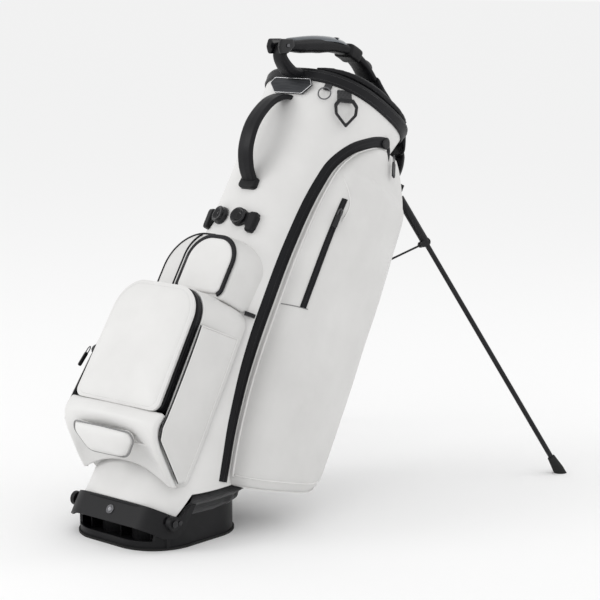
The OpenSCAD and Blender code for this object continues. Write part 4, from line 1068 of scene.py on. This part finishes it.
def make_skirt():
    """Apron below the door: it swells forward, tucks back under the pocket and carries a soft bumper."""
    half = BALL_HALF + 4
    middle = curve([[-208, 157.5], [-216, 153], [-223, 140], [-222, 124], [-211, 104], [-188, 84], [-160, 68],
                    [-132, 58]], 60)
    edge = curve([[-206, 157.5], [-209, 153], [-212, 140], [-209, 126], [-194, 108], [-166, 88], [-138, 70],
                  [-116, 58]], 60)
    grid = []
    for m, e in zip(middle, edge):
        row = []
        for u in np.linspace(-1, 1, 90):
            w = abs(u) ** 2.6
            y, z = m * (1 - w) + e * w
            low = min(1.0, max(0.0, (138 - z) / 60))
            row.append([half * math.copysign(abs(u) ** 0.94, u), y, z + scoop(half * u, y) * 0.9 * low])
        side_wrap = [[row[0][0] - 1.5, row[0][1] + 3, row[0][2]],
                     [row[0][0] - 0.5, row[0][1] + 9, row[0][2] + 1]]
        other = [[row[-1][0] + 1.5, row[-1][1] + 3, row[-1][2]],
                 [row[-1][0] + 0.5, row[-1][1] + 9, row[-1][2] + 1]]
        grid.append(side_wrap[::-1] + row + other)
    grid = np.array(grid)
    grid[..., 1] -= (ruffle(grid, 2.0, 70, 9.0) + 0.6) * np.clip((157 - grid[..., 2]) / 20, 0, 1)
    skirt = surface("pocket_skirt", grid, WHITE, closed_row=False)
    thicken(skirt, 3.0, 1.0)
    for column, word in ((2, "left"), (-3, "right")):
        tube(f"skirt_piping_{word}", grid[1:, column] + [math.copysign(1.0, column), -0.8, 0], 1.6, PIPING)
    tube("skirt_top", grid[0, 3:-3] + [0, 0.4, 0.4], 1.5, PIPING)
    hub = (2, -203, 97)
    tilt = 42
    outline = smooth_outline([[-72, 22], [64, 22], [72, 8], [50, -26], [-44, -28], [-76, 6]], 140, 14)
    rings = []
    for share, rise in ((1.0, -6), (1.0, 2), (0.975, 5.5), (0.92, 8.5), (0.8, 11), (0.6, 13), (0.35, 14.2),
                        (0.12, 14.6)):
        ring = about_middle(outline, share)
        rings.append(turned(xyz(ring[:, 0], -float(rise), ring[:, 1]), hub, x=tilt))
    bumper = surface("skirt_bumper", np.array(rings), WHITE, caps=True)
    inflate(bumper, cap=3.0, voxel=4.0)
    rim = about_middle(outline, 1.03)
    rim = turned(xyz(rim[:, 0], -3.0, rim[:, 1]), hub, x=tilt)
    # Grey ring round the bumper's foot: painted shade where it meets the apron
    tube("bumper_seam_shade", rim, 1.6, SEAM_SHADE, closed=True)


def make_slip_pockets():
    """Flat pockets on the ball pocket's sides, open toward the front, with a near-black sheet inside as painted
    shade.
    """
    objs = []
    for side in (1, -1):
        word = "right" if side > 0 else "left"
        grid, dark = [], []
        for v in np.linspace(0, 1, 60):
            front = np.interp(v, [0, 0.2, 0.3, 1], [-112, -196, -203, -196])
            z_back = 72 + (346 - 72) * v
            z_front = np.interp(v, [0, 0.2, 0.3, 1], [66, 116, 136, 330])
            row, under = [], []
            for u in np.linspace(0, 1, 40):
                y = -100 + (front + 100) * u
                z = z_back + (z_front - z_back) * u
                swell = 9 * math.sin(math.pi * min(1, u * 0.62 + 0.02))
                swell *= math.sin(math.pi * (0.06 + 0.9 * v)) ** 0.5
                x = BALL_HALF + 9.5 - 1.5 * u + swell
                x *= taper(z)
                row.append([side * x, y, z])
                under.append([side * (x - 2.6), y - 2.4 * u, z])
            grid.append(row)
            dark.append(under)
        panel = surface(f"slip_pocket_{word}", np.array(grid), SHADED_WHITE, closed_row=False)
        thicken(panel, 1.8)
        objs.append(panel)
        shade_sheet = surface(f"slip_inside_shade_{word}", np.array(dark), POCKET_SHADE, closed_row=False)
        thicken(shade_sheet, 0.8)
        g = np.array(grid)
        tube(f"slip_edge_{word}", g[:, -1], 1.1, PIPING, count=8)
        tube(f"slip_top_{word}", g[-1], 1.1, PIPING, count=8)
        tube(f"slip_seam_{word}", g[:, 0], 1.4, PIPING, count=8)
    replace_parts(objs[0], "slip_pockets")


def make_ball_slider():
    x = -BALL_HALF - 0.5
    outline = smooth_outline([[-4.5, -8], [4.5, -8], [5.2, 4], [2.5, 8.5], [-2.5, 8.5], [-5.2, 4]], radius=2)
    body = []
    for share, depth in ((1, -3.4), (1, 1.6), (0.86, 3.2), (0.5, 3.8)):
        body.append(xyz(x - depth, outline[:, 0] * share - 206, outline[:, 1] * share + 250))
    slider = surface("ball_slider", np.array(body), GLOSSY, caps=True, slot="zip_black")
    bridge = tube("slider_bridge", curve([[x - 3, -206, 256], [x - 7, -206, 254], [x - 7.4, -206, 248],
                                          [x - 3, -206, 244]], 24), 1.3, GLOSSY, slot="zip_black")
    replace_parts(join("ball_slider", [slider, bridge]), "ball_slider")
    pull = pull_tab("ball_pull", lambda g: turned(g, (-BALL_HALF - 11, -210, 252), y=12), 40, 8,
                    "pocket_pull")
    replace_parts(pull, "ball_pull")


def pull_tab(name, place, length, width, body, thick=3.2):
    """Rubbery zipper puller: a rounded tab on a cord loop, hanging down -Z with its flat side along X."""
    outline = smooth_outline([[-width / 2, -length * 0.3], [width / 2, -length * 0.3], [width / 2, -length],
                              [-width / 2, -length]], 72, width * 0.42)
    grid = []
    for share, depth in ((0.86, -thick / 2), (1, -thick / 4), (1, thick / 4), (0.86, thick / 2),
                         (0.6, thick / 2 - 0.5)):
        ring = about_middle(outline, share)
        grid.append(place(xyz(depth, ring[:, 0], ring[:, 1])))
    tab = surface(name + "_tab", np.array(grid), GLOSSY, body, caps=True, slot="zip_black")
    w = width * 0.3
    loop = curve([[0, -w, -length * 0.36], [0, -w, -length * 0.12], [0, 0, 0], [0, w, -length * 0.12],
                  [0, w, -length * 0.36]], 40)
    cord = tube(name + "_loop", place(loop), 1.0, BLACK_THREAD, body, slot="zip_black", count=8)
    return join(name, [tab, cord])


# ---------- valuables pocket ----------
def make_valuables():
    half, top, zb = VALUABLES_HALF, VALUABLES_TOP, BALL_TOP + 4
    rows = [(-74, half + 2, zb, top + 8, 6, 60, 0), (-100, half + 3, zb, top + 8, 6, 66, 0),
            (-122, half + 1.5, zb, top + 5.5, 6, 71, -1), (-138, half - 0.5, zb, top + 2, 6, 73, -2),
            (-144, half - 3, zb, top - 1, 6, 73, -2), (-146, half - 6.5, zb + 1, top - 4.5, 6, 70, -2),
            (-147, half - 11, zb + 2, top - 9, 6, 66, -2)]
    fine = curve(np.array(rows, float), 50)
    grid = [ring_at(arch(r[1], r[2], r[3], r[4], r[5], r[6]), r[0]) for r in fine]
    rim = grid[-1]
    for share in np.linspace(0.94, 0.06, 16):
        ring = about_middle(rim, share)
        ring[:, 1] = rim[:, 1] - 1.2 * (1 - share ** 2)
        grid.append(ring)
    walls = surface("valuables_pocket", np.array(grid), SHADED_WHITE, caps=True)
    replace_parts(walls, "valuables_pocket")
    # Dark piping round the front edge, up the left side and over the top
    edge = ring_at(arch(half - 3.5, zb, top - 1.4, 6, 73, -2), -145.4)
    left = edge[(edge[:, 0] < 6) & (edge[:, 2] > zb + 6)]
    tube("valuables_piping", left, 1.7, ZIP_TAPE)

    def outline(inset, xc=20):
        return arch(52 - inset, BALL_TOP + 12 + inset * 0.5, top - 10 - inset, 12, 44 - inset * 0.6, xc)
    door = crowned("valuables_door", lambda i: outline(i), [(0, -148), (0, -150), (0.6, -152), (2.2, -153.4),
                                                            (5, -154)], WHITE, "small_door", crown=4.5)
    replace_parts(door, "valuables_door")
    # Zipper: a wide dark arch round the door, and a fine dark line beside it
    ring = ring_at(outline(-3.4), -149.5)
    keep = 30
    path = ring[keep:-keep]
    normal = np.tile([0, -1.0, 0], (len(path), 1))
    sweep("valuables_zip", path, [(-4.4, -1.2), (-4.4, 1.0), (-3, 1.9), (-0.7, 2.1), (0, 1.3), (0.7, 2.1),
                                  (3, 1.9), (4.4, 1.0), (4.4, -1.2)], ZIP_TAPE,
          side=unit(np.cross([0, -1.0, 0], np.gradient(path, axis=0))))
    beads("valuables_teeth", path + [0, -1.4, 0], normal, 1.9, (1.1, 3.0, 0.9), ZIP_TEETH)
    ring = ring_at(outline(-15), -148.0)
    fine_line = ring[(ring[:, 0] < -16) & (ring[:, 2] > zb + 8) & (ring[:, 2] < top - 4)]
    tube("valuables_line", fine_line, 1.7, ZIP_TAPE, count=8)
    pull = pull_tab("valuables_pull", lambda g: turned(turned(g, (0, 0, 0), z=-90), (-34, -151.2, 470)), 30,
                    6, "small_pull", thick=2.4)
    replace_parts(pull, "valuables_pull")


# ---------- garment pockets ----------
def hem_of(y):
    return 106 + 0.33 * y + 0.004 * np.maximum(0, y - 120) ** 2


def flap_ring(t, inset, count, back, less):
    """Ring of a garment flap at level t from its front edge to its rear edge."""
    phi = np.linspace(-math.pi / 2, math.pi / 2, count)
    guess = hem_of(60) * (1 - t) + FLAP_TOP * t
    yr = rear_y(guess) - inset
    yf = min(yr - 8, zip_y(hem_of(back - 20) * (1 - t) + FLAP_TOP * t) + back + 2.5 + inset)
    y = (yf + yr) / 2 + (yr - yf) / 2 * spow(np.sin(phi), 0.72)
    z = hem_of(y) * (1 - t) + FLAP_TOP * t
    s = np.clip((y - yf) / (yr - yf), 0, 1)
    xb = (body_x(yf, z) + 1.0) * (1 - s) + 118 * s
    xo = bulge_x(z) - less - inset
    return np.stack([xb + (xo - xb) * np.maximum(0, np.cos(phi)) ** 0.52, y, z], -1)


def make_garment(side):
    word = "right" if side > 0 else "left"
    back, less = (0, 0) if side > 0 else (LEFT_BACK, LEFT_IN)
    count = 150
    levels = np.concatenate([[0.0], np.linspace(0.006, 0.975, 150), [0.983, 0.988]])
    tuck = np.interp(levels, [0, 0.006, 0.02, 0.04], [14, 7, 2.5, 0])
    rise = np.interp(levels, [0, 0.006, 0.02, 0.04], [3, 0.5, 0, 0])
    grid = []
    for t, i, r in zip(levels, tuck, rise):
        ring = flap_ring(t, 0, count, back, less)
        rim = flap_ring(t, 14, count, back, less)
        share = i / 14
        ring = ring * (1 - share) + rim * share
        ring[:, 2] += r - i * 0.12
        grid.append(ring)
    grid = np.array(grid)
    grid *= [side, 1, 1]
    out = xyz(float(side), np.zeros(grid.shape[:2]), np.zeros(grid.shape[:2]))
    folds = ruffle(grid * [1, 1, 0.5], 3.0, 85, 11.0) + ruffle(grid * [1, 1, 0.25], 1.0, 30, 5.0)
    u = np.linspace(0, 1, count)
    ends = np.minimum(1, 8 * np.minimum(levels, 1 - levels))
    calm = np.minimum(1, 5 * np.minimum(u, 1 - u))[None] * ends[:, None]
    grid = grid + out * (folds * calm - 0.6)[..., None]
    body = f"{word}_flap"
    # The flap takes the darker white leather, painted shade of the bag's side
    flap = surface(f"garment_flap_{word}", grid, SHADED_WHITE, body, closed_row=False)
    thicken(flap, 2.2)
    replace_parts(flap, f"garment_flap_{word}")
    edge = grid[4:-1, 1] + np.array([0.6 * side, -0.6, 0])
    tube(f"flap_piping_{word}", edge, 1.7, PIPING, body)
    rear = grid[4:-1, -2]
    tube(f"flap_rear_piping_{word}", rear, 1.7, PIPING, body)
    hem = grid[5, 2:-2] + np.array([0.4 * side, 0, -0.4])
    tube(f"flap_hem_{word}", hem, 1.4, PIPING, body)

    # Zipper tape on the body along the flap's front edge
    line = curve([[y + back, z] for z, y in ZIP_ROWS[1:]], 200)
    d = unit(np.gradient(line, axis=0))
    nrm = np.stack([-d[:, 1], d[:, 0]], -1)
    across = [-2.5, -2.5, -1.2, 1.5, 5.0, 7.8, 8.5, 9.2, 12.0, 15.5, 18.2, 19.5, 19.5]
    lift = [-1.0, 2.0, 3.6, 4.6, 5.2, 5.3, 4.7, 5.3, 5.2, 4.6, 3.6, 2.0, -1.0]
    tape = []
    for c, h in zip(across, lift):
        q = line + nrm * (2.6 + c)
        tape.append(on_skin(q[:, 0], q[:, 1], h, side))
    tape = np.swapaxes(np.array(tape), 0, 1)
    zipper = surface(f"garment_zip_{word}", tape, ZIP_TAPE, closed_row=True, caps=True)
    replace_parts(zipper, f"garment_zip_{word}")
    q = line + nrm * 11.1
    mid = on_skin(q[:, 0], q[:, 1], 4.5, side)
    beads(f"garment_teeth_{word}", mid, skin_normal(mid), 2.2, (1.3, 1.6, 0.7), ZIP_TEETH)
    q = line + nrm * 24.5
    tube(f"zip_fold_{word}", on_skin(q[:, 0], q[:, 1], -0.4, side)[:-10], 0.7, PIPING, count=8)
    q = line + nrm * 27
    beside = on_skin(q[:, 0], q[:, 1], -0.3, side)[:-10]
    beads(f"zip_stitches_{word}", beside, skin_normal(beside), STITCH_PITCH, STITCH, THREAD)
    x0 = 135 - 0.8 * less
    y0 = 88 + back * 0.4
    pull = pull_tab(f"garment_pull_{word}", lambda g: turned(turned(g, (0, 0, 0), x=-4), (0, 0, 0), y=-24)
                    * [side, 1, 1] + [side * x0, y0, 816], 52, 8, f"{word}_pull", thick=3.6)
    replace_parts(pull, f"garment_pull_{word}")
    top = tape[-3, 6]
    fold = curve([top + [2.5 * side, 2, 0], top + [5.5 * side, 9, -12], [side * x0, y0 - 9, 786],
                  [side * (x0 + 0.5), y0 - 4, 768]], 40)
    sweep(f"garment_pull_fold_{word}", fold, oval(8, 2.6, 0.6, 20), ZIP_TAPE, f"{word}_pull",
          side=[0, 0.7, 0.7], scale=dome_ends(fold, 3))
    block = smooth_outline([[-9, 8], [9, 8], [11, -2], [5, -13], [-5, -13], [-11, -2]], radius=4)
    spot = tape[-4, 6]

    def at_slider(g):
        return turned(np.stack([-g[:, 1] * side, g[:, 0], g[:, 2]], -1), spot, x=62)

    rounded_plate(f"garment_slider_{word}", block, 5, at_slider, GLOSSY, bevel=1.6, slot="zip_black")
    dress(f"garment_tray_{word}", SHADED_WHITE)
    return grid, levels


def make_short_zip(grid, levels):
    """Short zipper on the right flap: a dark strip in a white welt; make_short_slider adds its slider and pull.
    """
    low, high = 0.48, 0.79
    rows = [k for k in range(len(levels)) if low <= levels[k] <= high]
    count = grid.shape[1]
    column = lambda c: int(round(c / 20 * (count - 1)))
    a, b = column(3.0), column(4.0)
    strip = grid[rows]
    normal = unit(np.cross(strip[:, b] - strip[:, a], np.gradient(strip[:, a], axis=0)))
    normal *= np.sign(normal[:, :1])
    tape = []
    for share, lift in ((-0.05, 0.2), (-0.05, 1.6), (0.1, 2.2), (0.42, 2.5), (0.5, 1.7), (0.58, 2.5),
                        (0.9, 2.2), (1.05, 1.6), (1.05, 0.2)):
        tape.append(strip[:, a] + (strip[:, b] - strip[:, a]) * share + normal * lift)
    tape = np.swapaxes(np.array(tape), 0, 1)
    zipper = surface("short_zip", tape, ZIP_TAPE, "right_flap", caps=True)
    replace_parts(zipper, "short_zip")
    mid = (strip[:, a] + strip[:, b]) / 2 + normal * 1.9
    beads("short_teeth", mid, normal, 2.0, (1.2, 3.0, 0.9), ZIP_TEETH, "right_flap")
    # Welt: a grey seam line across its bottom, painted shade in the seam, and a folded corner at its top
    welt_low = grid[rows[0], 2:column(4.6)] + normal[0] * 0.6
    tube("welt_seam_shade", welt_low, 0.9, SEAM_SHADE, "right_flap", count=8)
    fold_top = curve(np.array([grid[rows[-1] + 9, column(1.2)], grid[rows[-1] + 4, column(3.4)],
                               grid[rows[-1] - 2, column(4.9)], grid[rows[-1] - 9, column(4.7)]])
                     + normal[-1] * 0.8, 30)
    tube("welt_fold", fold_top, 1.2, PIPING, "right_flap", count=8)


def upright(v):
    """World vector in the bag's frame, in the same units."""
    return np.array([v[0], v[1] * COS - v[2] * SIN, v[1] * SIN + v[2] * COS])


# The slider pull's hinge in the short zipper's frame: out from the zipper's top end, and down from it
SHORT_HINGE = np.array([12.5, 0, -30.5])


def at_short(g):
    """Places points in a frame on the short zipper, X outward and Z along it, found from its joints."""
    joints = {j["name"]: j for j in frame["joints"]}
    d = -upright(joints["slider_travel"]["axis"])
    angles = {"x": -math.degrees(math.atan(d[1] / d[2])), "y": math.degrees(math.atan(d[0] / d[2]))}

    def along(points, origin):
        return turned(turned(points, (0, 0, 0), z=-49), origin, **angles)

    top = upright(joints["slider_pull_swing"]["pos_m"]) / MM - along(SHORT_HINGE, (0, 0, 0))
    return along(g, top)


def make_short_slider():
    outline = smooth_outline([[-4.6, -40], [4.6, -40], [5.2, -30], [3, -25], [-3, -25], [-5.2, -30]],
                             radius=2)
    grid = []
    for share, depth in ((1, 1.6), (1, 4.4), (0.84, 5.8), (0.4, 6.4)):
        ring = about_middle(outline, share)
        grid.append(at_short(xyz(depth, ring[:, 0], ring[:, 1])))
    block = surface("short_slider", np.array(grid), GLOSSY, "slider", caps=True, slot="zip_black")
    route = curve([[5.6, 0, -26], [9, 0, -27.5], [9.4, 0, -31], [5.8, 0, -36]], 24)
    bridge = tube("short_bridge", at_short(route), 1.3, GLOSSY, "slider", slot="zip_black")
    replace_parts(join("short_slider", [block, bridge]), "short_slider")
    pull = pull_tab("short_pull", lambda g: at_short(g + [12.9, 0, -29]), 38, 9, "slider_pull", thick=4.2)
    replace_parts(pull, "short_pull")


# ---------- base ----------
def make_bellows():
    """Pleated nylon skirt between the foot and the bag."""
    arc = np.radians(np.linspace(-20, 200, 180))
    rows = []
    for t in np.linspace(0, 1, 40):
        fold = 3.2 * math.sin(2.0 * math.pi * t * 2) * math.sin(math.pi * t) ** 0.5
        r = 118.0
        low = xyz(r * spow(np.cos(arc), 0.62), r * spow(np.sin(arc), 0.62), 54.0)
        p = body_pt(arc, np.full_like(arc, 120.0), 5.0)
        z = plane_z(p[:, 1], HEM - 1)
        high = np.stack([p[:, 0], p[:, 1] * COS + z * SIN, -p[:, 1] * SIN + z * COS], -1)
        mixed = low * (1 - t) + high * t
        mixed *= np.array([1, 1, 0]) * (1 + fold / 118) + [0, 0, 1]
        mixed[:, :2] *= (1 + 0.006 * np.sin(arc * 23 + 3 * t))[:, None]
        rows.append(mixed)
    skirt = surface("base_bellows", np.array(rows), NYLON, None, closed_row=False, bag=False)
    thicken(skirt, 1.4)
    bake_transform(skirt, "foot", "bag", start=(0, 0, 0.055), end=(0, 0, 0.084))
    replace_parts(skirt, "base_bellows")


def make_base_trim():
    dress("foot_base", MOULDED, 1.2)
    dress("foot_sole", RUBBER, 0.8)
    dress("foot_ribs", MOULDED, 0.8)
    dress("base_cup", MOULDED, 1.2)
    dress("hinge_pins", STEEL, 0.4)
    dress("hinge_screws", GLOSSY, 0.9)
    # Plain round badge in a raised rim
    hub = (0, -127.2, -9)
    badge = surface("base_emblem", disc([(8.4, -0.6), (8.4, 1.0), (7.8, 1.6), (6.8, 1.6), (6.2, 0.9),
                                         (2, 1.1)], hub, 0), STEEL, caps=True)
    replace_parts(badge, "base_emblem")
    # Soft bead round the top of the band
    line = []
    for t in np.radians(np.linspace(180, 360, 160)):
        c, s = math.cos(t), math.sin(t)
        x = 127.6 * spow(np.array(c), 0.5)
        y = 127.6 * spow(np.array(s), 0.5)
        line.append([float(x), float(y), 9.0])
    line = np.array([p for p in line if p[1] < BAND_BACK])
    tube("band_bead", line, 2.0, MOULDED)


# ---------- frame, legs and rods ----------
def make_hardware():
    for node in ("leg_right", "leg_left"):
        dress(node, PAINTED, 0.8)
    for node in ("link_right", "link_left", "actuator_rods"):
        dress(node, PAINTED, 0.3, 2)
    for node in ("leg_foot_right", "leg_foot_left"):
        dress(node, RUBBER, 1.5)
    for node in ("leg_bracket", "rod_guides"):
        dress(node, MOULDED, 1.2)
    dress("hip_pins", STEEL, 0.4)
    dress("spine_stays", STEEL, 0.3)
    dress("club_divider", MOULDED, 1.0)
    dress("divider_sleeves", NYLON)
    dress("pen_clip", GLOSSY, 1.0)


def make_stage():
    mesh = bpy.data.meshes.new("floor")
    size = 60.0
    mesh.from_pydata([(-size, -size, 0), (size, -size, 0), (size, size, 0), (-size, size, 0)], [],
                     [(0, 1, 2, 3)])
    floor = bpy.data.objects.new("floor", mesh)
    bpy.context.scene.collection.objects.link(floor)
    material, _, shader = nodes_of("floor")
    shader.inputs["Base Color"].default_value = (0.95, 0.95, 0.95, 1)
    shader.inputs["Roughness"].default_value = 0.9
    shader.inputs["Specular IOR Level"].default_value = 0.0
    mesh.materials.append(material)


def area(name, place, aim, size, power_w):
    data = bpy.data.lights.new(name, "AREA")
    data.energy = power_w
    data.size = size
    light = bpy.data.objects.new(name, data)
    light.location = place
    light.rotation_euler = (Vector(aim) - Vector(place)).to_track_quat("-Z", "Y").to_euler()
    bpy.context.scene.collection.objects.link(light)


def make_light():
    world = bpy.data.worlds.new("world")
    bpy.context.scene.world = world
    world.use_nodes = True
    world.node_tree.nodes["Background"].inputs["Color"].default_value = (1, 1, 1, 1)
    world.node_tree.nodes["Background"].inputs["Strength"].default_value = 0.93
    area("key", (-2.2, -3.0, 2.2), (0, 0.1, 0.45), 1.6, 34)
    area("rim", (1.6, 2.4, 2.2), (0, 0.3, 0.5), 1.4, 8)
    scene = bpy.context.scene
    scene.view_settings.view_transform = "Standard"


make_body()
make_seams()
make_collar()
make_carry_handle()
make_handle_fittings()
make_lift_handle()
make_straps()
make_hip_pad()
make_docks()
make_rings()
make_ball_pocket()
make_skirt()
make_slip_pockets()
make_ball_slider()
make_valuables()
right_grid, right_levels = make_garment(1)
make_garment(-1)
make_short_zip(right_grid, right_levels)
make_short_slider()
make_bellows()
make_base_trim()
make_hardware()
make_stage()
make_light()
